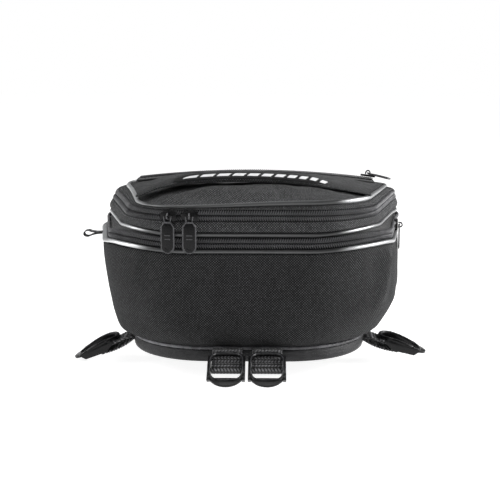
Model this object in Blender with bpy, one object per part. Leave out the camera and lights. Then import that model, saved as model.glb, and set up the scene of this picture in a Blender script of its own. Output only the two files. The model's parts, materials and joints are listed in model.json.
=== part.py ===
"""Expandable tail bag for a motorcycle rack, as separate sewn and moulded pieces.

All lengths below are millimetres and are turned into metres when a mesh is made. The origin is
the centre of the base's underside, +X is the bag's right seen from its front, +Y points to its
rear (the side with the lid's hinge) and +Z is up. The bag has three tiers: the lower bag, the
upper tier that rises when the expansion zip is open, and the lid, closed by the main zip.
"""

import math

import bmesh
import bpy
from mathutils import Matrix, Vector

MM = 0.001
GAP = 0.3  # free space left between two pieces that are sewn or stacked together

# Plan outlines: half width at the front, front y, rear y, side flare in degrees, corner radii.
BASE_PLAN = dict(half=92.5, front=-95, rear=97, flare=10, front_radius=70, rear_radius=60)
LOWER_PLAN = dict(half=120, front=-106.5, rear=107, flare=8, front_radius=75, rear_radius=60)
UPPER_PLAN = dict(half=101, front=-105, rear=105, flare=13.5, front_radius=60, rear_radius=55)
LID_PLAN = dict(half=97, front=-103.5, rear=103.5, flare=12.5, front_radius=56, rear_radius=56)
CORNER_STEPS = 7
FRONT_STEPS = 4
SIDE_STEPS = 3
REAR_STEPS = 3

# Heights.
BASE_TOP = 10.7  # top edge of the base panel's skirt
BASE_PIPING_Z = 12.3
SHELL_BOTTOM = 13.9
SHELL_TOP = 96.2
LOWER_PIPING_Z = 98.3
EXPANSION_ZIP_Z = 104.8  # the line where the two coil rows meet
SHELF_Z = 109.4  # underside of the step inwards from the expansion zip to the upper tier
MIDDLE_PIPING_Z = 112.2
BAND_BOTTOM = 114.2
MAIN_TAPE_BOTTOM = 119.0  # the lower tape is sewn behind the band
BAND_TOP = 123.6
MAIN_ZIP_Z = 128.4
HINGE_Z = 133.1
LID_BAND_TOP = 135.4
LID_PIPING_Z = 137.3
LID_RIM_Z = 137.4
LID_CREST = 10.0  # how far the lid's middle stands above its rim

# Sheet and piping sizes.
FABRIC = 1.6
FOAM = 4.0
LINING = 0.8
BOARD = 2.4  # stiffener in the base
TAPE = 0.8
FOAM_INSET = FABRIC + 2 * GAP  # outer face of the wall foam, in from the outline
LINING_INSET = FOAM_INSET + FOAM + 2 * GAP
GUSSET_OUT = -4.2  # outer face of the pleat that opens when the expansion zip is undone
GUSSET = 1.2
BASE_PIPING_R = 1.3
LOWER_PIPING_R = 1.8
PIPING_R = 1.7
ROUND_SIDES = 8

# Zips: one coil row's height and how far it stands out of and behind the plan line.
COIL_HEIGHT = 4.0
COIL_OUT = 1.5
COIL_IN = -1.7
ROW_GAP = 0.4  # from the zip line to each row
TAPE_OUT = -2.0
TAPE_IN = TAPE_OUT - TAPE
SHELF_TAPE_OUT = TAPE_OUT - 0.6  # the shelf's inner edge, so that it never steps outwards

# Sliders and pulls.
SLIDER_LENGTH = 13.5
SLIDER_OUT = 2.4  # inner face of a slider's front plate, outwards from the plan line
PLATE = 1.5
BACK_GAP = 1.1  # between the lower tape and a slider's back plate, so that it rounds a corner
RUNG = 0.7  # half thickness of a pull's top rung
RUNG_OUT = 1.4  # rung centre above the front plate
ARCH_OPENING = 1.4
ARCH_BAR = 1.5
ARCH_THICKNESS = 1.6
PULL_WIDTH = 12.0
PULL_LENGTH = 31.0
PULL_THICKNESS = 1.2
SHORT_PULL_LENGTH = 22.0
LEFT_SLIDER_TURN = 11.0  # degrees round the front left corner
RIGHT_SLIDER_X = -48.0
EXPANSION_SLIDER_Y = 5.0

# Lid pocket zip, an arc over the lid.
POCKET_Y = 50.0
POCKET_CREST = 148.0
POCKET_RADIUS = 909.0
POCKET_HALF = 118.0
POCKET_STEPS = 16
POCKET_TAPE_WIDTH = 13.0
POCKET_COIL_HEIGHT = 2.0
POCKET_SLIDER_X = 112.0
POCKET_PULL_DROOP = 11.0

# Carry handle across the lid.
HANDLE_FRONT = -72.0
HANDLE_REAR = -32.0
HANDLE_END_Z = 139.6
HANDLE_RISE = 13.0
HANDLE_END_X = 106.0
GRIP_HALF = 74.0
GRIP_THICKNESS = 6.0
TAIL_THICKNESS = 2.2
PATCH_HALF = 62.0
PATCH_FRONT = -66.0
PATCH_REAR = -45.0
PATCH = 0.6

# Webbing and ladder-lock buckles. A droop is the strap's angle below the horizontal.
WEBBING = 25.0
WEBBING_THICKNESS = 1.6
BUCKLE_HALF = 15.8
RAIL = 2.6
BAR_R = 1.6
LOOP_R = BAR_R + GAP + WEBBING_THICKNESS / 2  # middle of the webbing round the bar
STRAP_LENGTH = 27.0  # from the strap's root to the buckle's loop bar
STRAP_STAND_OFF = 3.4  # from the skirt to the strap's root
FRONT_STRAP_X = 17.0
FRONT_STRAP_Z = 9.8
FRONT_DROOP = 19.0
SIDE_STRAP_Y = -25.0
SIDE_STRAP_Z = 5.2
LEFT_DROOP = 24.0
RIGHT_DROOP = 17.0

# Ribbon loop on the left side.
LOOP_Y = 2.0
LOOP_Z = 97.6
LOOP_LENGTH = 15.0
LOOP_HEIGHT = 5.5
LOOP_WIDTH = 10.0
LOOP_PLY = 1.0


# ---------------------------------------------------------------- plan outlines


def outline(half, front, rear, flare, front_radius, rear_radius):
    """Plan outline from the rear centre round the left side, the front and the right side."""
    rear_half = half + math.tan(math.radians(flare)) * (rear - front)
    corners = [
        (Vector((-rear_half, rear)), rear_radius),
        (Vector((-half, front)), front_radius),
        (Vector((half, front)), front_radius),
        (Vector((rear_half, rear)), rear_radius),
    ]
    steps = [REAR_STEPS, SIDE_STEPS, FRONT_STEPS, SIDE_STEPS, REAR_STEPS]
    rear_centre = Vector((0, rear))
    before = [rear_centre] + [corner for corner, _ in corners[:-1]]
    after = [corner for corner, _ in corners[1:]] + [rear_centre]
    points = [rear_centre]
    for index, (corner, radius) in enumerate(corners):
        arc = corner_arc(before[index], corner, after[index], radius)
        points += straight(points[-1], arc[0], steps[index])
        points += arc[1:]
    points += straight(points[-1], rear_centre, steps[-1])[:-1]
    return points


def straight(start, end, steps):
    return [start.lerp(end, step / steps) for step in range(1, steps + 1)]


def corner_arc(before, corner, after, radius):
    """Points of the arc that rounds a corner of an outline that runs anticlockwise."""
    inward = (corner - before).normalized()
    onward = (after - corner).normalized()
    turn = inward.angle(onward)
    reach = radius * math.tan(turn / 2)
    start = corner - inward * reach
    centre = start + Vector((-inward.y, inward.x)) * radius
    spoke = start - centre
    points = []
    for step in range(CORNER_STEPS + 1):
        angle = turn * step / CORNER_STEPS
        points.append(centre + Matrix.Rotation(angle, 2) @ spoke)
    return points


def moved_out(points, distance):
    """The outline moved outwards by a distance, with mitred corners."""
    moved = []
    count = len(points)
    for index, point in enumerate(points):
        into = (point - points[index - 1]).normalized()
        out_of = (points[(index + 1) % count] - point).normalized()
        along = (into + out_of).normalized()
        normal = Vector((along.y, -along.x))
        moved.append(point + normal * distance / max(along.dot(into), 0.5))
    return moved


def ring(points, distance, height):
    return [Vector((p.x, p.y, height)) for p in moved_out(points, distance)]


def shell_level(share):
    """The lower bag's outline, from the lower piping (0) down to the base piping (1)."""
    tuck = (10 * share + 20 * share**7) / 30
    plan = {}
    for key, top in LOWER_PLAN.items():
        plan[key] = top + (BASE_PLAN[key] - top) * tuck
    return outline(**plan)


BASE_LINE = outline(**BASE_PLAN)
LOWER_LINE = outline(**LOWER_PLAN)
UPPER_LINE = outline(**UPPER_PLAN)
LID_LINE = outline(**LID_PLAN)
EXPANSION_LINE = moved_out(LOWER_LINE, -2.0)
# The main zip runs between the middles of the two rear corners, and the hinge strip fills the rest.
ZIP_FIRST = REAR_STEPS + 4
ZIP_LAST = len(UPPER_LINE) - ZIP_FIRST


# ---------------------------------------------------------------- meshes


def tube(rings, closed=True):
    """Faces round a closed section (the rings) that runs along a path (each ring's points)."""
    sections = len(rings)
    stations = len(rings[0])
    vertices = [point for ring_points in rings for point in ring_points]
    faces = []
    for k in range(sections):
        following = (k + 1) % sections
        for i in range(stations if closed else stations - 1):
            j = (i + 1) % stations
            near, far = k * stations, following * stations
            faces.append((near + i, near + j, far + j, far + i))
    if not closed:
        faces.append([k * stations for k in range(sections)])
        faces.append([k * stations + stations - 1 for k in range(sections)])
    return vertices, faces


def stack(rings):
    """A solid through rings of equal counts, closed by a face on the first and on the last."""
    vertices, faces = tube(rings)
    stations = len(rings[0])
    faces = faces[: (len(rings) - 1) * stations]
    faces.append(list(range(stations)))
    faces.append([(len(rings) - 1) * stations + i for i in range(stations)])
    return vertices, faces


def prism(profile, low, high, across="y"):
    """A profile of (a, b) pairs extruded across the third axis."""
    lay = {
        "x": lambda a, b, c: Vector((c, a, b)),
        "y": lambda a, b, c: Vector((a, c, b)),
        "z": lambda a, b, c: Vector((a, b, c)),
    }[across]
    return stack([[lay(a, b, c) for a, b in profile] for c in (low, high)])


def circle(radius, sides=ROUND_SIDES, centre=(0, 0)):
    points = []
    for side in range(sides):
        angle = 2 * math.pi * (side + 0.5) / sides
        points.append((centre[0] + radius * math.cos(angle), centre[1] + radius * math.sin(angle)))
    return points


def section_tube(section, first=0, last=None, closed=True):
    """A section of (outline, distance, height) corners run round its outlines."""
    rings = [ring(points, distance, height) for points, distance, height in section]
    if not closed:
        rings = [points[first : last + 1] for points in rings]
    return tube(rings, closed)


def piping(points, distance, height, radius):
    return section_tube([(points, distance + a, height + b) for a, b in circle(radius)])


def strip(points, inner, outer, low, high, **ends):
    """A band with a rectangular section."""
    return section_tube(
        [(points, inner, low), (points, outer, low), (points, outer, high), (points, inner, high)],
        **ends,
    )


def coil_row(points, low, **ends):
    """One row of a coil zip, with a rounded outer side."""
    high = low + COIL_HEIGHT
    bevel = 0.9
    return section_tube(
        [
            (points, COIL_IN, low),
            (points, COIL_OUT - bevel, low),
            (points, COIL_OUT, low + bevel),
            (points, COIL_OUT, high - bevel),
            (points, COIL_OUT - bevel, high),
            (points, COIL_IN, high),
        ],
        **ends,
    )


def ribbon(path, thickness, low, high, across="y", closed=False):
    """A strap whose side view is the path, as wide as low to high across the third axis."""
    left, right = [], []
    count = len(path)
    for index, point in enumerate(path):
        back = path[index - 1] if index or closed else point
        ahead = path[(index + 1) % count] if index < count - 1 or closed else point
        along = (ahead - back).normalized()
        normal = Vector((-along.y, along.x)) * thickness / 2
        left.append(point + normal)
        right.append(point - normal)
    corners = [(left, low), (right, low), (right, high), (left, high)]
    rings = []
    for side, c in corners:
        if across == "y":
            rings.append([Vector((p.x, c, p.y)) for p in side])
        else:
            rings.append([Vector((c, p.x, p.y)) for p in side])
    return tube(rings, closed)


def make_object(name, shape, material, location=(0, 0, 0), rotation=None, parent=None):
    """An object whose mesh is in its own frame, in mm, placed in the world."""
    vertices, faces = shape
    mesh = bpy.data.meshes.new(name)
    mesh.from_pydata([Vector(v) * MM for v in vertices], [], faces)
    build = bmesh.new()
    build.from_mesh(mesh)
    bmesh.ops.recalc_face_normals(build, faces=build.faces)
    build.to_mesh(mesh)
    build.free()
    mesh.shade_smooth()
    mesh.set_sharp_from_angle(angle=math.radians(35))
    return place(name, mesh, material, location, rotation, parent)


def place(name, mesh, material, location, rotation=None, parent=None):
    thing = bpy.data.objects.new(name, mesh)
    bpy.context.collection.objects.link(thing)
    place_at = Vector(location) * MM
    if parent:
        thing.parent = parent
        place_at -= parent.location
    thing.location = place_at
    if rotation:
        thing.rotation_euler = rotation.to_euler()
    if not mesh.materials:
        mesh.materials.append(MATERIALS[material])
    return thing


def from_world(shape, origin):
    """A shape given in world coordinates, moved so that its origin is the given point."""
    vertices, faces = shape
    return [Vector(v) - Vector(origin) for v in vertices], faces


def axis_empty(name, location):
    empty = bpy.data.objects.new(name, None)
    empty.location = Vector(location) * MM
    bpy.context.collection.objects.link(empty)
    return empty


def sewn(name, shape, material, parent=None):
    """A piece modelled in world coordinates, with its origin on its parent's axis."""
    origin = parent.location / MM if parent else Vector((0, 0, 0))
    return make_object(name, from_world(shape, origin), material, origin, parent=parent)


def combine(name, shapes, operation="UNION"):
    """One closed mesh: the first shape joined with, or cut by, each of the others."""
    pieces = [make_object(f"{name}_piece", shape, "plastic") for shape in shapes]
    for other in pieces[1:]:
        step = pieces[0].modifiers.new("combine", "BOOLEAN")
        step.operation = operation
        step.solver = "EXACT"
        step.object = other
    graph = bpy.context.evaluated_depsgraph_get()
    mesh = bpy.data.meshes.new_from_object(pieces[0].evaluated_get(graph))
    mesh.name = name
    mesh.materials.clear()
    for piece in pieces:
        bpy.data.objects.remove(piece)
    mesh.shade_smooth()
    mesh.set_sharp_from_angle(angle=math.radians(35))
    return mesh


# ---------------------------------------------------------------- materials

FINISHES = {
    "fabric": ((0.030, 0.031, 0.033), 0.90, 0.0),
    "lid_fabric": ((0.045, 0.046, 0.048), 0.85, 0.0),
    "vinyl": ((0.028, 0.028, 0.030), 0.55, 0.0),
    "lining": ((0.050, 0.050, 0.052), 0.80, 0.0),
    "foam": ((0.120, 0.120, 0.125), 0.95, 0.0),
    "stiffener": ((0.060, 0.060, 0.062), 0.60, 0.0),
    "reflective": ((0.550, 0.560, 0.570), 0.35, 0.4),
    "dark_piping": ((0.060, 0.060, 0.064), 0.40, 0.0),
    "tape": ((0.020, 0.020, 0.021), 0.85, 0.0),
    "coil": ((0.022, 0.022, 0.024), 0.45, 0.0),
    "webbing": ((0.025, 0.025, 0.027), 0.80, 0.0),
    "plastic": ((0.018, 0.018, 0.019), 0.35, 0.0),
    "metal": ((0.030, 0.030, 0.032), 0.30, 0.7),
    "patch": ((0.012, 0.012, 0.013), 0.50, 0.0),
}
MATERIALS = {}


def make_materials():
    for name, (colour, roughness, metallic) in FINISHES.items():
        material = bpy.data.materials.new(name)
        material.use_nodes = True
        surface = material.node_tree.nodes["Principled BSDF"]
        surface.inputs["Base Color"].default_value = (*colour, 1)
        surface.inputs["Roughness"].default_value = roughness
        surface.inputs["Metallic"].default_value = metallic
        MATERIALS[name] = material


# ---------------------------------------------------------------- lower bag


def make_base():
    """Tray of rubberised fabric whose skirt runs up to the base piping, with its stiffener."""
    outer = [(-1.5, 0), (-0.4, 1.2), (0, 4), (0, BASE_TOP)]
    inner = [(-FABRIC, BASE_TOP), (-FABRIC, 4), (-2.1, 2.2), (-3.2, FABRIC)]
    sewn("base_panel", stack([ring(BASE_LINE, *level) for level in outer + inner]), "vinyl")
    sewn("base_stiffener", plate(-6, FABRIC + GAP, BOARD), "stiffener")
    sewn("floor_lining", plate(-7, FABRIC + BOARD + 2 * GAP, LINING), "lining")
    sewn("base_piping", piping(BASE_LINE, -0.2, BASE_PIPING_Z, BASE_PIPING_R), "dark_piping")


def plate(distance, low, thickness):
    return stack([ring(BASE_LINE, distance, low), ring(BASE_LINE, distance, low + thickness)])


def wall(outer, thickness, low, high):
    """A ring of sheet that follows the lower bag's side, its outer face in from the outline."""
    shares = (0, 0.25, 0.5, 0.72, 0.86, 0.95, 1)
    rings = []
    for share in shares:
        height = high + (low - high) * share
        rings.append(ring(shell_level(share), outer, height))
    for share in reversed(shares):
        height = high + (low - high) * share
        rings.append(ring(shell_level(share), outer - thickness, height))
    return tube(rings)


def make_lower_walls():
    """Outer fabric, foam and lining of the lower bag, one inside the other."""
    hem = SHELL_TOP - 0.4
    sewn("main_shell", wall(0, FABRIC, SHELL_BOTTOM, SHELL_TOP), "fabric")
    sewn("wall_foam", wall(-FOAM_INSET, FOAM, SHELL_BOTTOM, hem), "foam")
    sewn("wall_lining", wall(-LINING_INSET, LINING, SHELL_BOTTOM, hem), "lining")
    sewn("lower_piping", piping(LOWER_LINE, 0, LOWER_PIPING_Z, LOWER_PIPING_R), "reflective")


def make_lower_zip():
    tape = strip(EXPANSION_LINE, TAPE_IN, TAPE_OUT, SHELL_TOP + 0.7, EXPANSION_ZIP_Z - ROW_GAP)
    sewn("expansion_lower_tape", tape, "tape")
    coil = coil_row(EXPANSION_LINE, EXPANSION_ZIP_Z - ROW_GAP - COIL_HEIGHT)
    sewn("expansion_lower_coil", coil, "coil")


def make_side_loop():
    """A folded ribbon sewn under the lower piping: two plies that part into a round eye."""
    eye = LOOP_HEIGHT / 2
    root = side_x(LOWER_LINE, LOOP_Y + LOOP_WIDTH / 2) + LOWER_PIPING_R + GAP
    far = -root - LOOP_LENGTH + eye
    path = [Vector((-root, LOOP_PLY)), Vector((-root - LOOP_LENGTH / 3, LOOP_PLY))]
    steps = 8
    for step in range(steps + 1):
        angle = math.radians(80) + math.radians(200) * step / steps
        path.append(Vector((far + eye * math.cos(angle), eye * math.sin(angle))))
    path += [Vector((-root - LOOP_LENGTH / 3, -LOOP_PLY)), Vector((-root, -LOOP_PLY))]
    path = [Vector((p.x, p.y + LOOP_Z)) for p in path]
    low = LOOP_Y - LOOP_WIDTH / 2
    sewn("side_loop", ribbon(path, LOOP_PLY, low, low + LOOP_WIDTH), "webbing")


def side_x(points, y):
    """Half width of an outline at a given y, on its right side."""
    for a, b in zip(points, points[1:]):
        if a.x > 0 and b.x > 0 and a.y <= y < b.y:
            return a.x + (b.x - a.x) * (y - a.y) / (b.y - a.y)
    raise ValueError("the outline has no side at this y")


# ---------------------------------------------------------------- upper tier


def make_upper_tier(tier):
    """Everything between the expansion zip and the main zip's lower row."""
    shelf_in = SHELF_TAPE_OUT - TAPE
    upper_tape = section_tube(
        [
            (EXPANSION_LINE, TAPE_OUT, EXPANSION_ZIP_Z + ROW_GAP),
            (EXPANSION_LINE, TAPE_OUT, SHELF_Z + TAPE),
            (UPPER_LINE, SHELF_TAPE_OUT, SHELF_Z + TAPE),
            (UPPER_LINE, SHELF_TAPE_OUT, BAND_BOTTOM - GAP),
            (UPPER_LINE, shelf_in, BAND_BOTTOM - GAP),
            (UPPER_LINE, shelf_in, SHELF_Z),
            (EXPANSION_LINE, TAPE_IN, SHELF_Z),
            (EXPANSION_LINE, TAPE_IN, EXPANSION_ZIP_Z + ROW_GAP),
        ]
    )
    sewn("expansion_upper_tape", upper_tape, "tape", tier)
    sewn("expansion_upper_coil", coil_row(EXPANSION_LINE, EXPANSION_ZIP_Z + ROW_GAP), "coil", tier)
    sewn("middle_piping", piping(UPPER_LINE, 0, MIDDLE_PIPING_Z, PIPING_R), "reflective", tier)
    sewn("upper_band", strip(UPPER_LINE, -FABRIC, 0, BAND_BOTTOM, BAND_TOP), "fabric", tier)
    ends = dict(first=ZIP_FIRST, last=ZIP_LAST, closed=False)
    low_tape = strip(UPPER_LINE, TAPE_IN, TAPE_OUT, MAIN_TAPE_BOTTOM, MAIN_ZIP_Z - ROW_GAP, **ends)
    sewn("main_lower_tape", low_tape, "tape", tier)
    low_coil = coil_row(UPPER_LINE, MAIN_ZIP_Z - ROW_GAP - COIL_HEIGHT, **ends)
    sewn("main_lower_coil", low_coil, "coil", tier)
    pleat = (GUSSET_OUT - GUSSET, GUSSET_OUT, SHELL_TOP + GUSSET, MIDDLE_PIPING_Z)
    gusset = strip(UPPER_LINE, *pleat)
    sewn("expansion_gusset", gusset, "lining", tier)


def make_hinge_strip(tier):
    """The strip of fabric that joins the lid to the upper tier across the rear."""
    low, high = BAND_TOP + GAP, HINGE_Z - GAP / 2
    rings = []
    for distance, height in ((-FABRIC, low), (0, low), (0, high), (-FABRIC, high)):
        whole = ring(UPPER_LINE, distance, height)
        rings.append(whole[ZIP_LAST + 1 :] + whole[:ZIP_FIRST])
    sewn("lid_hinge_strip", tube(rings, closed=False), "fabric", tier)


# ---------------------------------------------------------------- lid


def lid_height(share, x):
    """Height of the lid's outer face, from its middle (0) to its rim (1)."""
    return LID_RIM_Z + LID_CREST * (1 - share**3) * (1 - 0.35 * (x / 120) ** 2)


def dome(inset, below, thickness):
    """A domed sheet under the lid's outer face."""
    shares = (1, 0.93, 0.85, 0.72, 0.5, 0.22)
    rim = moved_out(LID_LINE, -inset)
    rings = []
    for drop, order in ((below + thickness, reversed(shares)), (below, shares)):
        for share in order:
            level = [p * share for p in rim]
            rings.append([Vector((p.x, p.y, lid_height(share, p.x) - drop)) for p in level])
    return stack(rings)


def make_lid(lid):
    ends = dict(first=ZIP_FIRST, last=ZIP_LAST, closed=False)
    hem = HINGE_Z + GAP / 2
    tape = strip(UPPER_LINE, TAPE_IN, TAPE_OUT, MAIN_ZIP_Z + ROW_GAP, HINGE_Z - GAP / 2, **ends)
    sewn("main_upper_tape", tape, "tape", lid)
    sewn("main_upper_coil", coil_row(UPPER_LINE, MAIN_ZIP_Z + ROW_GAP, **ends), "coil", lid)
    band = section_tube(
        [
            (UPPER_LINE, TAPE_IN, hem),
            (UPPER_LINE, 0, hem),
            (LID_LINE, 1.2, LID_BAND_TOP - GAP),
            (LID_LINE, -1.6, LID_BAND_TOP - GAP),
        ]
    )
    sewn("lid_band", band, "fabric", lid)
    sewn("lid_piping", piping(LID_LINE, -GAP, LID_PIPING_Z, PIPING_R), "reflective", lid)
    sewn("lid_panel", dome(PIPING_R + 2 * GAP, 0, FABRIC), "lid_fabric", lid)
    sewn("lid_foam", dome(6, FABRIC + GAP, FOAM), "foam", lid)
    sewn("lid_lining", dome(5, FABRIC + FOAM + 3 * GAP, LINING), "lining", lid)


def pocket_z(x):
    return POCKET_CREST - POCKET_RADIUS + math.sqrt(POCKET_RADIUS**2 - x * x)


def over_lid(front, rear, low, high):
    """A strip across the lid that follows the pocket zip's arc."""
    stations = [POCKET_HALF * (2 * step / POCKET_STEPS - 1) for step in range(POCKET_STEPS + 1)]
    rings = []
    for y, rise in ((front, low), (rear, low), (rear, high), (front, high)):
        rings.append([Vector((x, y, pocket_z(x) + rise)) for x in stations])
    return tube(rings, closed=False)


def make_pocket_zip(lid):
    half = ROW_GAP / 2
    inner, outer = half, half + POCKET_TAPE_WIDTH
    row = half + COIL_HEIGHT - 0.6
    sewn("pocket_front_tape", over_lid(POCKET_Y - outer, POCKET_Y - inner, 0, TAPE), "tape", lid)
    sewn("pocket_rear_tape", over_lid(POCKET_Y + inner, POCKET_Y + outer, 0, TAPE), "tape", lid)
    low, high = TAPE + GAP, TAPE + GAP + POCKET_COIL_HEIGHT
    sewn("pocket_front_coil", over_lid(POCKET_Y - row, POCKET_Y - half, low, high), "coil", lid)
    sewn("pocket_rear_coil", over_lid(POCKET_Y + half, POCKET_Y + row, low, high), "coil", lid)


# ---------------------------------------------------------------- carry handle


def handle_z(x):
    """Underside of the handle band."""
    return HANDLE_END_Z + HANDLE_RISE * (1 - (x / HANDLE_END_X) ** 2)


def handle_band(start, end, steps, front, rear, base, thickness, edge):
    """A strip across the handle whose edges are rounded off by the edge width."""
    profile = [
        (front, 0),
        (rear, 0),
        (rear, thickness * 0.45),
        (rear - edge, thickness),
        (front + edge, thickness),
        (front, thickness * 0.45),
    ]
    stations = [start + (end - start) * step / steps for step in range(steps + 1)]
    return tube(
        [[Vector((x, y, handle_z(x) + base + rise)) for x in stations] for y, rise in profile],
        closed=False,
    )


def make_handle(handle):
    grip = handle_band(-GRIP_HALF, GRIP_HALF, 12, HANDLE_FRONT, HANDLE_REAR, 0, GRIP_THICKNESS, 5)
    sewn("handle_grip", grip, "lid_fabric", handle)
    inner = GRIP_HALF + GAP
    front, rear = HANDLE_FRONT + 1, HANDLE_REAR - 1
    for side, name in ((-1, "handle_end_left"), (1, "handle_end_right")):
        tail = handle_band(side * inner, side * HANDLE_END_X, 4, front, rear, 0, TAIL_THICKNESS, 3)
        sewn(name, tail, "lid_fabric", handle)
    base = GRIP_THICKNESS + GAP
    patch = handle_band(-PATCH_HALF, PATCH_HALF, 10, PATCH_FRONT, PATCH_REAR, base, PATCH, PATCH)
    sewn("handle_patch", patch, "patch", handle)


# ---------------------------------------------------------------- sliders and pulls


def arch_profile():
    """Side view of the crown that holds a pull's rung, standing on a slider's plate."""
    outer = ARCH_OPENING + ARCH_BAR
    inner_top = RUNG_OUT + ARCH_OPENING
    outer_top = inner_top + ARCH_BAR
    shoulder = 1.2
    sunk = -0.4
    return [
        (-outer, sunk),
        (-outer, outer_top - shoulder),
        (-outer + shoulder, outer_top),
        (outer - shoulder, outer_top),
        (outer, outer_top - shoulder),
        (outer, sunk),
        (ARCH_OPENING, sunk),
        (ARCH_OPENING, inner_top),
        (-ARCH_OPENING, inner_top),
        (-ARCH_OPENING, sunk),
    ]


def slider_mesh(name, crown_across, with_back=True):
    """A slider in its own frame: x along the zip, -y outwards, z across the rows.

    The origin lies on the rung's centre. A web between the coil rows and a back plate behind the
    lower row hold it on that row, so the other row can leave it.
    """
    half = SLIDER_LENGTH / 2
    point = half + 0.8
    nose, tail = 4.3, 2.6
    plan = [(-half, -tail), (half, -nose), (point, 0), (half, nose), (-half, tail), (-point, 0)]
    plate_in = RUNG_OUT + PLATE
    shapes = [prism(plan, RUNG_OUT, plate_in, across="y")]
    arch = [(a, RUNG_OUT - b) for a, b in arch_profile()]
    thick = ARCH_THICKNESS / 2
    if crown_across:
        shapes.append(prism([(b, a) for a, b in arch], -thick, thick, across="x"))
    else:
        shapes.append(prism(arch, -thick, thick, across="z"))
    if with_back:
        web_half, web_thick = 4.0, 0.15
        hook_half, hook_low, hook_thick = 5.0, -3.6, 0.9
        back = plate_in + SLIDER_OUT - TAPE_IN + BACK_GAP
        web_in, web_out = back + hook_thick / 2, plate_in - hook_thick / 2
        web = [(-web_half, web_out), (web_half, web_out), (web_half, web_in), (-web_half, web_in)]
        shapes.append(prism(web, -web_thick, web_thick, across="z"))
        hook = [(-hook_half, hook_low), (hook_half, hook_low), (hook_half, 0.1), (-hook_half, 0.1)]
        shapes.append(prism(hook, back, back + hook_thick, across="y"))
    return combine(name, shapes)


def pull_mesh(name, length):
    """A pull tab that hangs along -z from its rung, which lies along x through the origin."""
    half = PULL_WIDTH / 2
    thick = PULL_THICKNESS / 2
    eye, eye_low = 2.3, -5.2
    neck, neck_low = 3.9, -4.8
    shoulder, chamfer = eye_low - 2.5, 3.0
    left = [
        (-neck, RUNG),
        (-neck, neck_low),
        (-half, shoulder),
        (-half, chamfer - length),
        (chamfer - half, -length),
    ]
    tab = left + [(-x, z) for x, z in reversed(left)]
    hole = [(-eye, -RUNG), (-eye, eye_low), (eye, eye_low), (eye, -RUNG)]
    shapes = [prism(tab, -thick, thick, across="y"), prism(hole, -2 * thick, 2 * thick, across="y")]
    return combine(name, shapes, "DIFFERENCE")


def make_main_sliders():
    """Two sliders side by side at the front left: one rounds the corner, one runs along the front."""
    slider = slider_mesh("main_slider", crown_across=True)
    pull = pull_mesh("main_pull", PULL_LENGTH)
    out = SLIDER_OUT + PLATE + RUNG_OUT
    corner_x, corner_y, radius = front_left_centre()
    turn = math.radians(LEFT_SLIDER_TURN)
    reach = radius + out
    left = (corner_x - reach * math.sin(turn), corner_y - reach * math.cos(turn), MAIN_ZIP_Z)
    right = (RIGHT_SLIDER_X, UPPER_PLAN["front"] - out, MAIN_ZIP_Z)
    turned = Matrix.Rotation(-turn, 3, "Z")
    place("main_slider_left", slider, "metal", left, turned)
    place("main_pull_left", pull, "metal", left, turned)
    place("main_slider_right", slider, "metal", right)
    place("main_pull_right", pull, "metal", right)


def front_left_centre():
    """Centre and radius of the upper outline's front left corner."""
    plan = UPPER_PLAN
    turn = math.radians(90 - plan["flare"])
    reach = plan["front_radius"] * math.tan(turn / 2)
    return reach - plan["half"], plan["front"] + plan["front_radius"], plan["front_radius"]


def make_expansion_slider():
    slider = slider_mesh("expansion_slider_mesh", crown_across=True)
    pull = pull_mesh("expansion_pull_mesh", SHORT_PULL_LENGTH)
    flare = math.radians(LOWER_PLAN["flare"])
    out = SLIDER_OUT + PLATE + RUNG_OUT
    line_x = side_x(EXPANSION_LINE, EXPANSION_SLIDER_Y)
    spot = (
        line_x + out * math.cos(flare),
        EXPANSION_SLIDER_Y - out * math.sin(flare),
        EXPANSION_ZIP_Z,
    )
    turned = Matrix.Rotation(math.pi / 2 - flare, 3, "Z")
    place("expansion_slider", slider, "metal", spot, turned)
    place("expansion_pull", pull, "metal", spot, turned)


def make_pocket_slider(lid):
    slider = slider_mesh("pocket_slider_mesh", crown_across=False, with_back=False)
    pull = pull_mesh("pocket_pull_mesh", SHORT_PULL_LENGTH)
    lean = math.asin(POCKET_SLIDER_X / POCKET_RADIUS)
    rise = TAPE + POCKET_COIL_HEIGHT + 3 * GAP + PLATE + RUNG_OUT
    up = Vector((math.sin(lean), 0, math.cos(lean)))
    spot = Vector((POCKET_SLIDER_X, POCKET_Y, pocket_z(POCKET_SLIDER_X))) + up * rise
    flat = Matrix.Rotation(lean, 3, "Y") @ Matrix.Rotation(-math.pi / 2, 3, "X")
    place("pocket_slider", slider, "metal", spot, flat, lid)
    droop = math.radians(POCKET_PULL_DROOP)
    down_tab = Vector((math.cos(droop), 0, -math.sin(droop)))
    rung = Vector((0, 1, 0))
    facing = rung.cross(down_tab)
    axes = Matrix((rung, facing, -down_tab)).transposed()
    place("pocket_pull", pull, "metal", spot, axes, lid)


# ---------------------------------------------------------------- straps and buckles


def buckle_mesh():
    """A ladder-lock buckle: x away from the bag, y across, z out of its face.

    The origin is the centre of the bar that the webbing is looped round. The side rails arch over
    it, a cross bar joins them at the bag's end and a thumb lip joins them at the free end.
    """
    rail = [
        (-15.5, 6.3),
        (-15, 9.8),
        (-3, 12),
        (9, 10.6),
        (21, 7.6),
        (21.4, 6),
        (18, -1.7),
        (-2, -1.7),
        (-12.5, 5),
    ]
    cross_bar = [(-15.2, 6.5), (-15, 9.3), (-12.4, 9.7), (-12.4, 6.5)]
    inner = BUCKLE_HALF - RAIL
    reach = inner + 1
    shapes = [
        prism(rail, -BUCKLE_HALF, -inner, across="y"),
        prism(rail, inner, BUCKLE_HALF, across="y"),
        prism(circle(BAR_R), -reach, reach, across="y"),
        prism(cross_bar, -reach, reach, across="y"),
        lip(18, 29, reach),
    ]
    return combine("ladder_lock", shapes)


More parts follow.
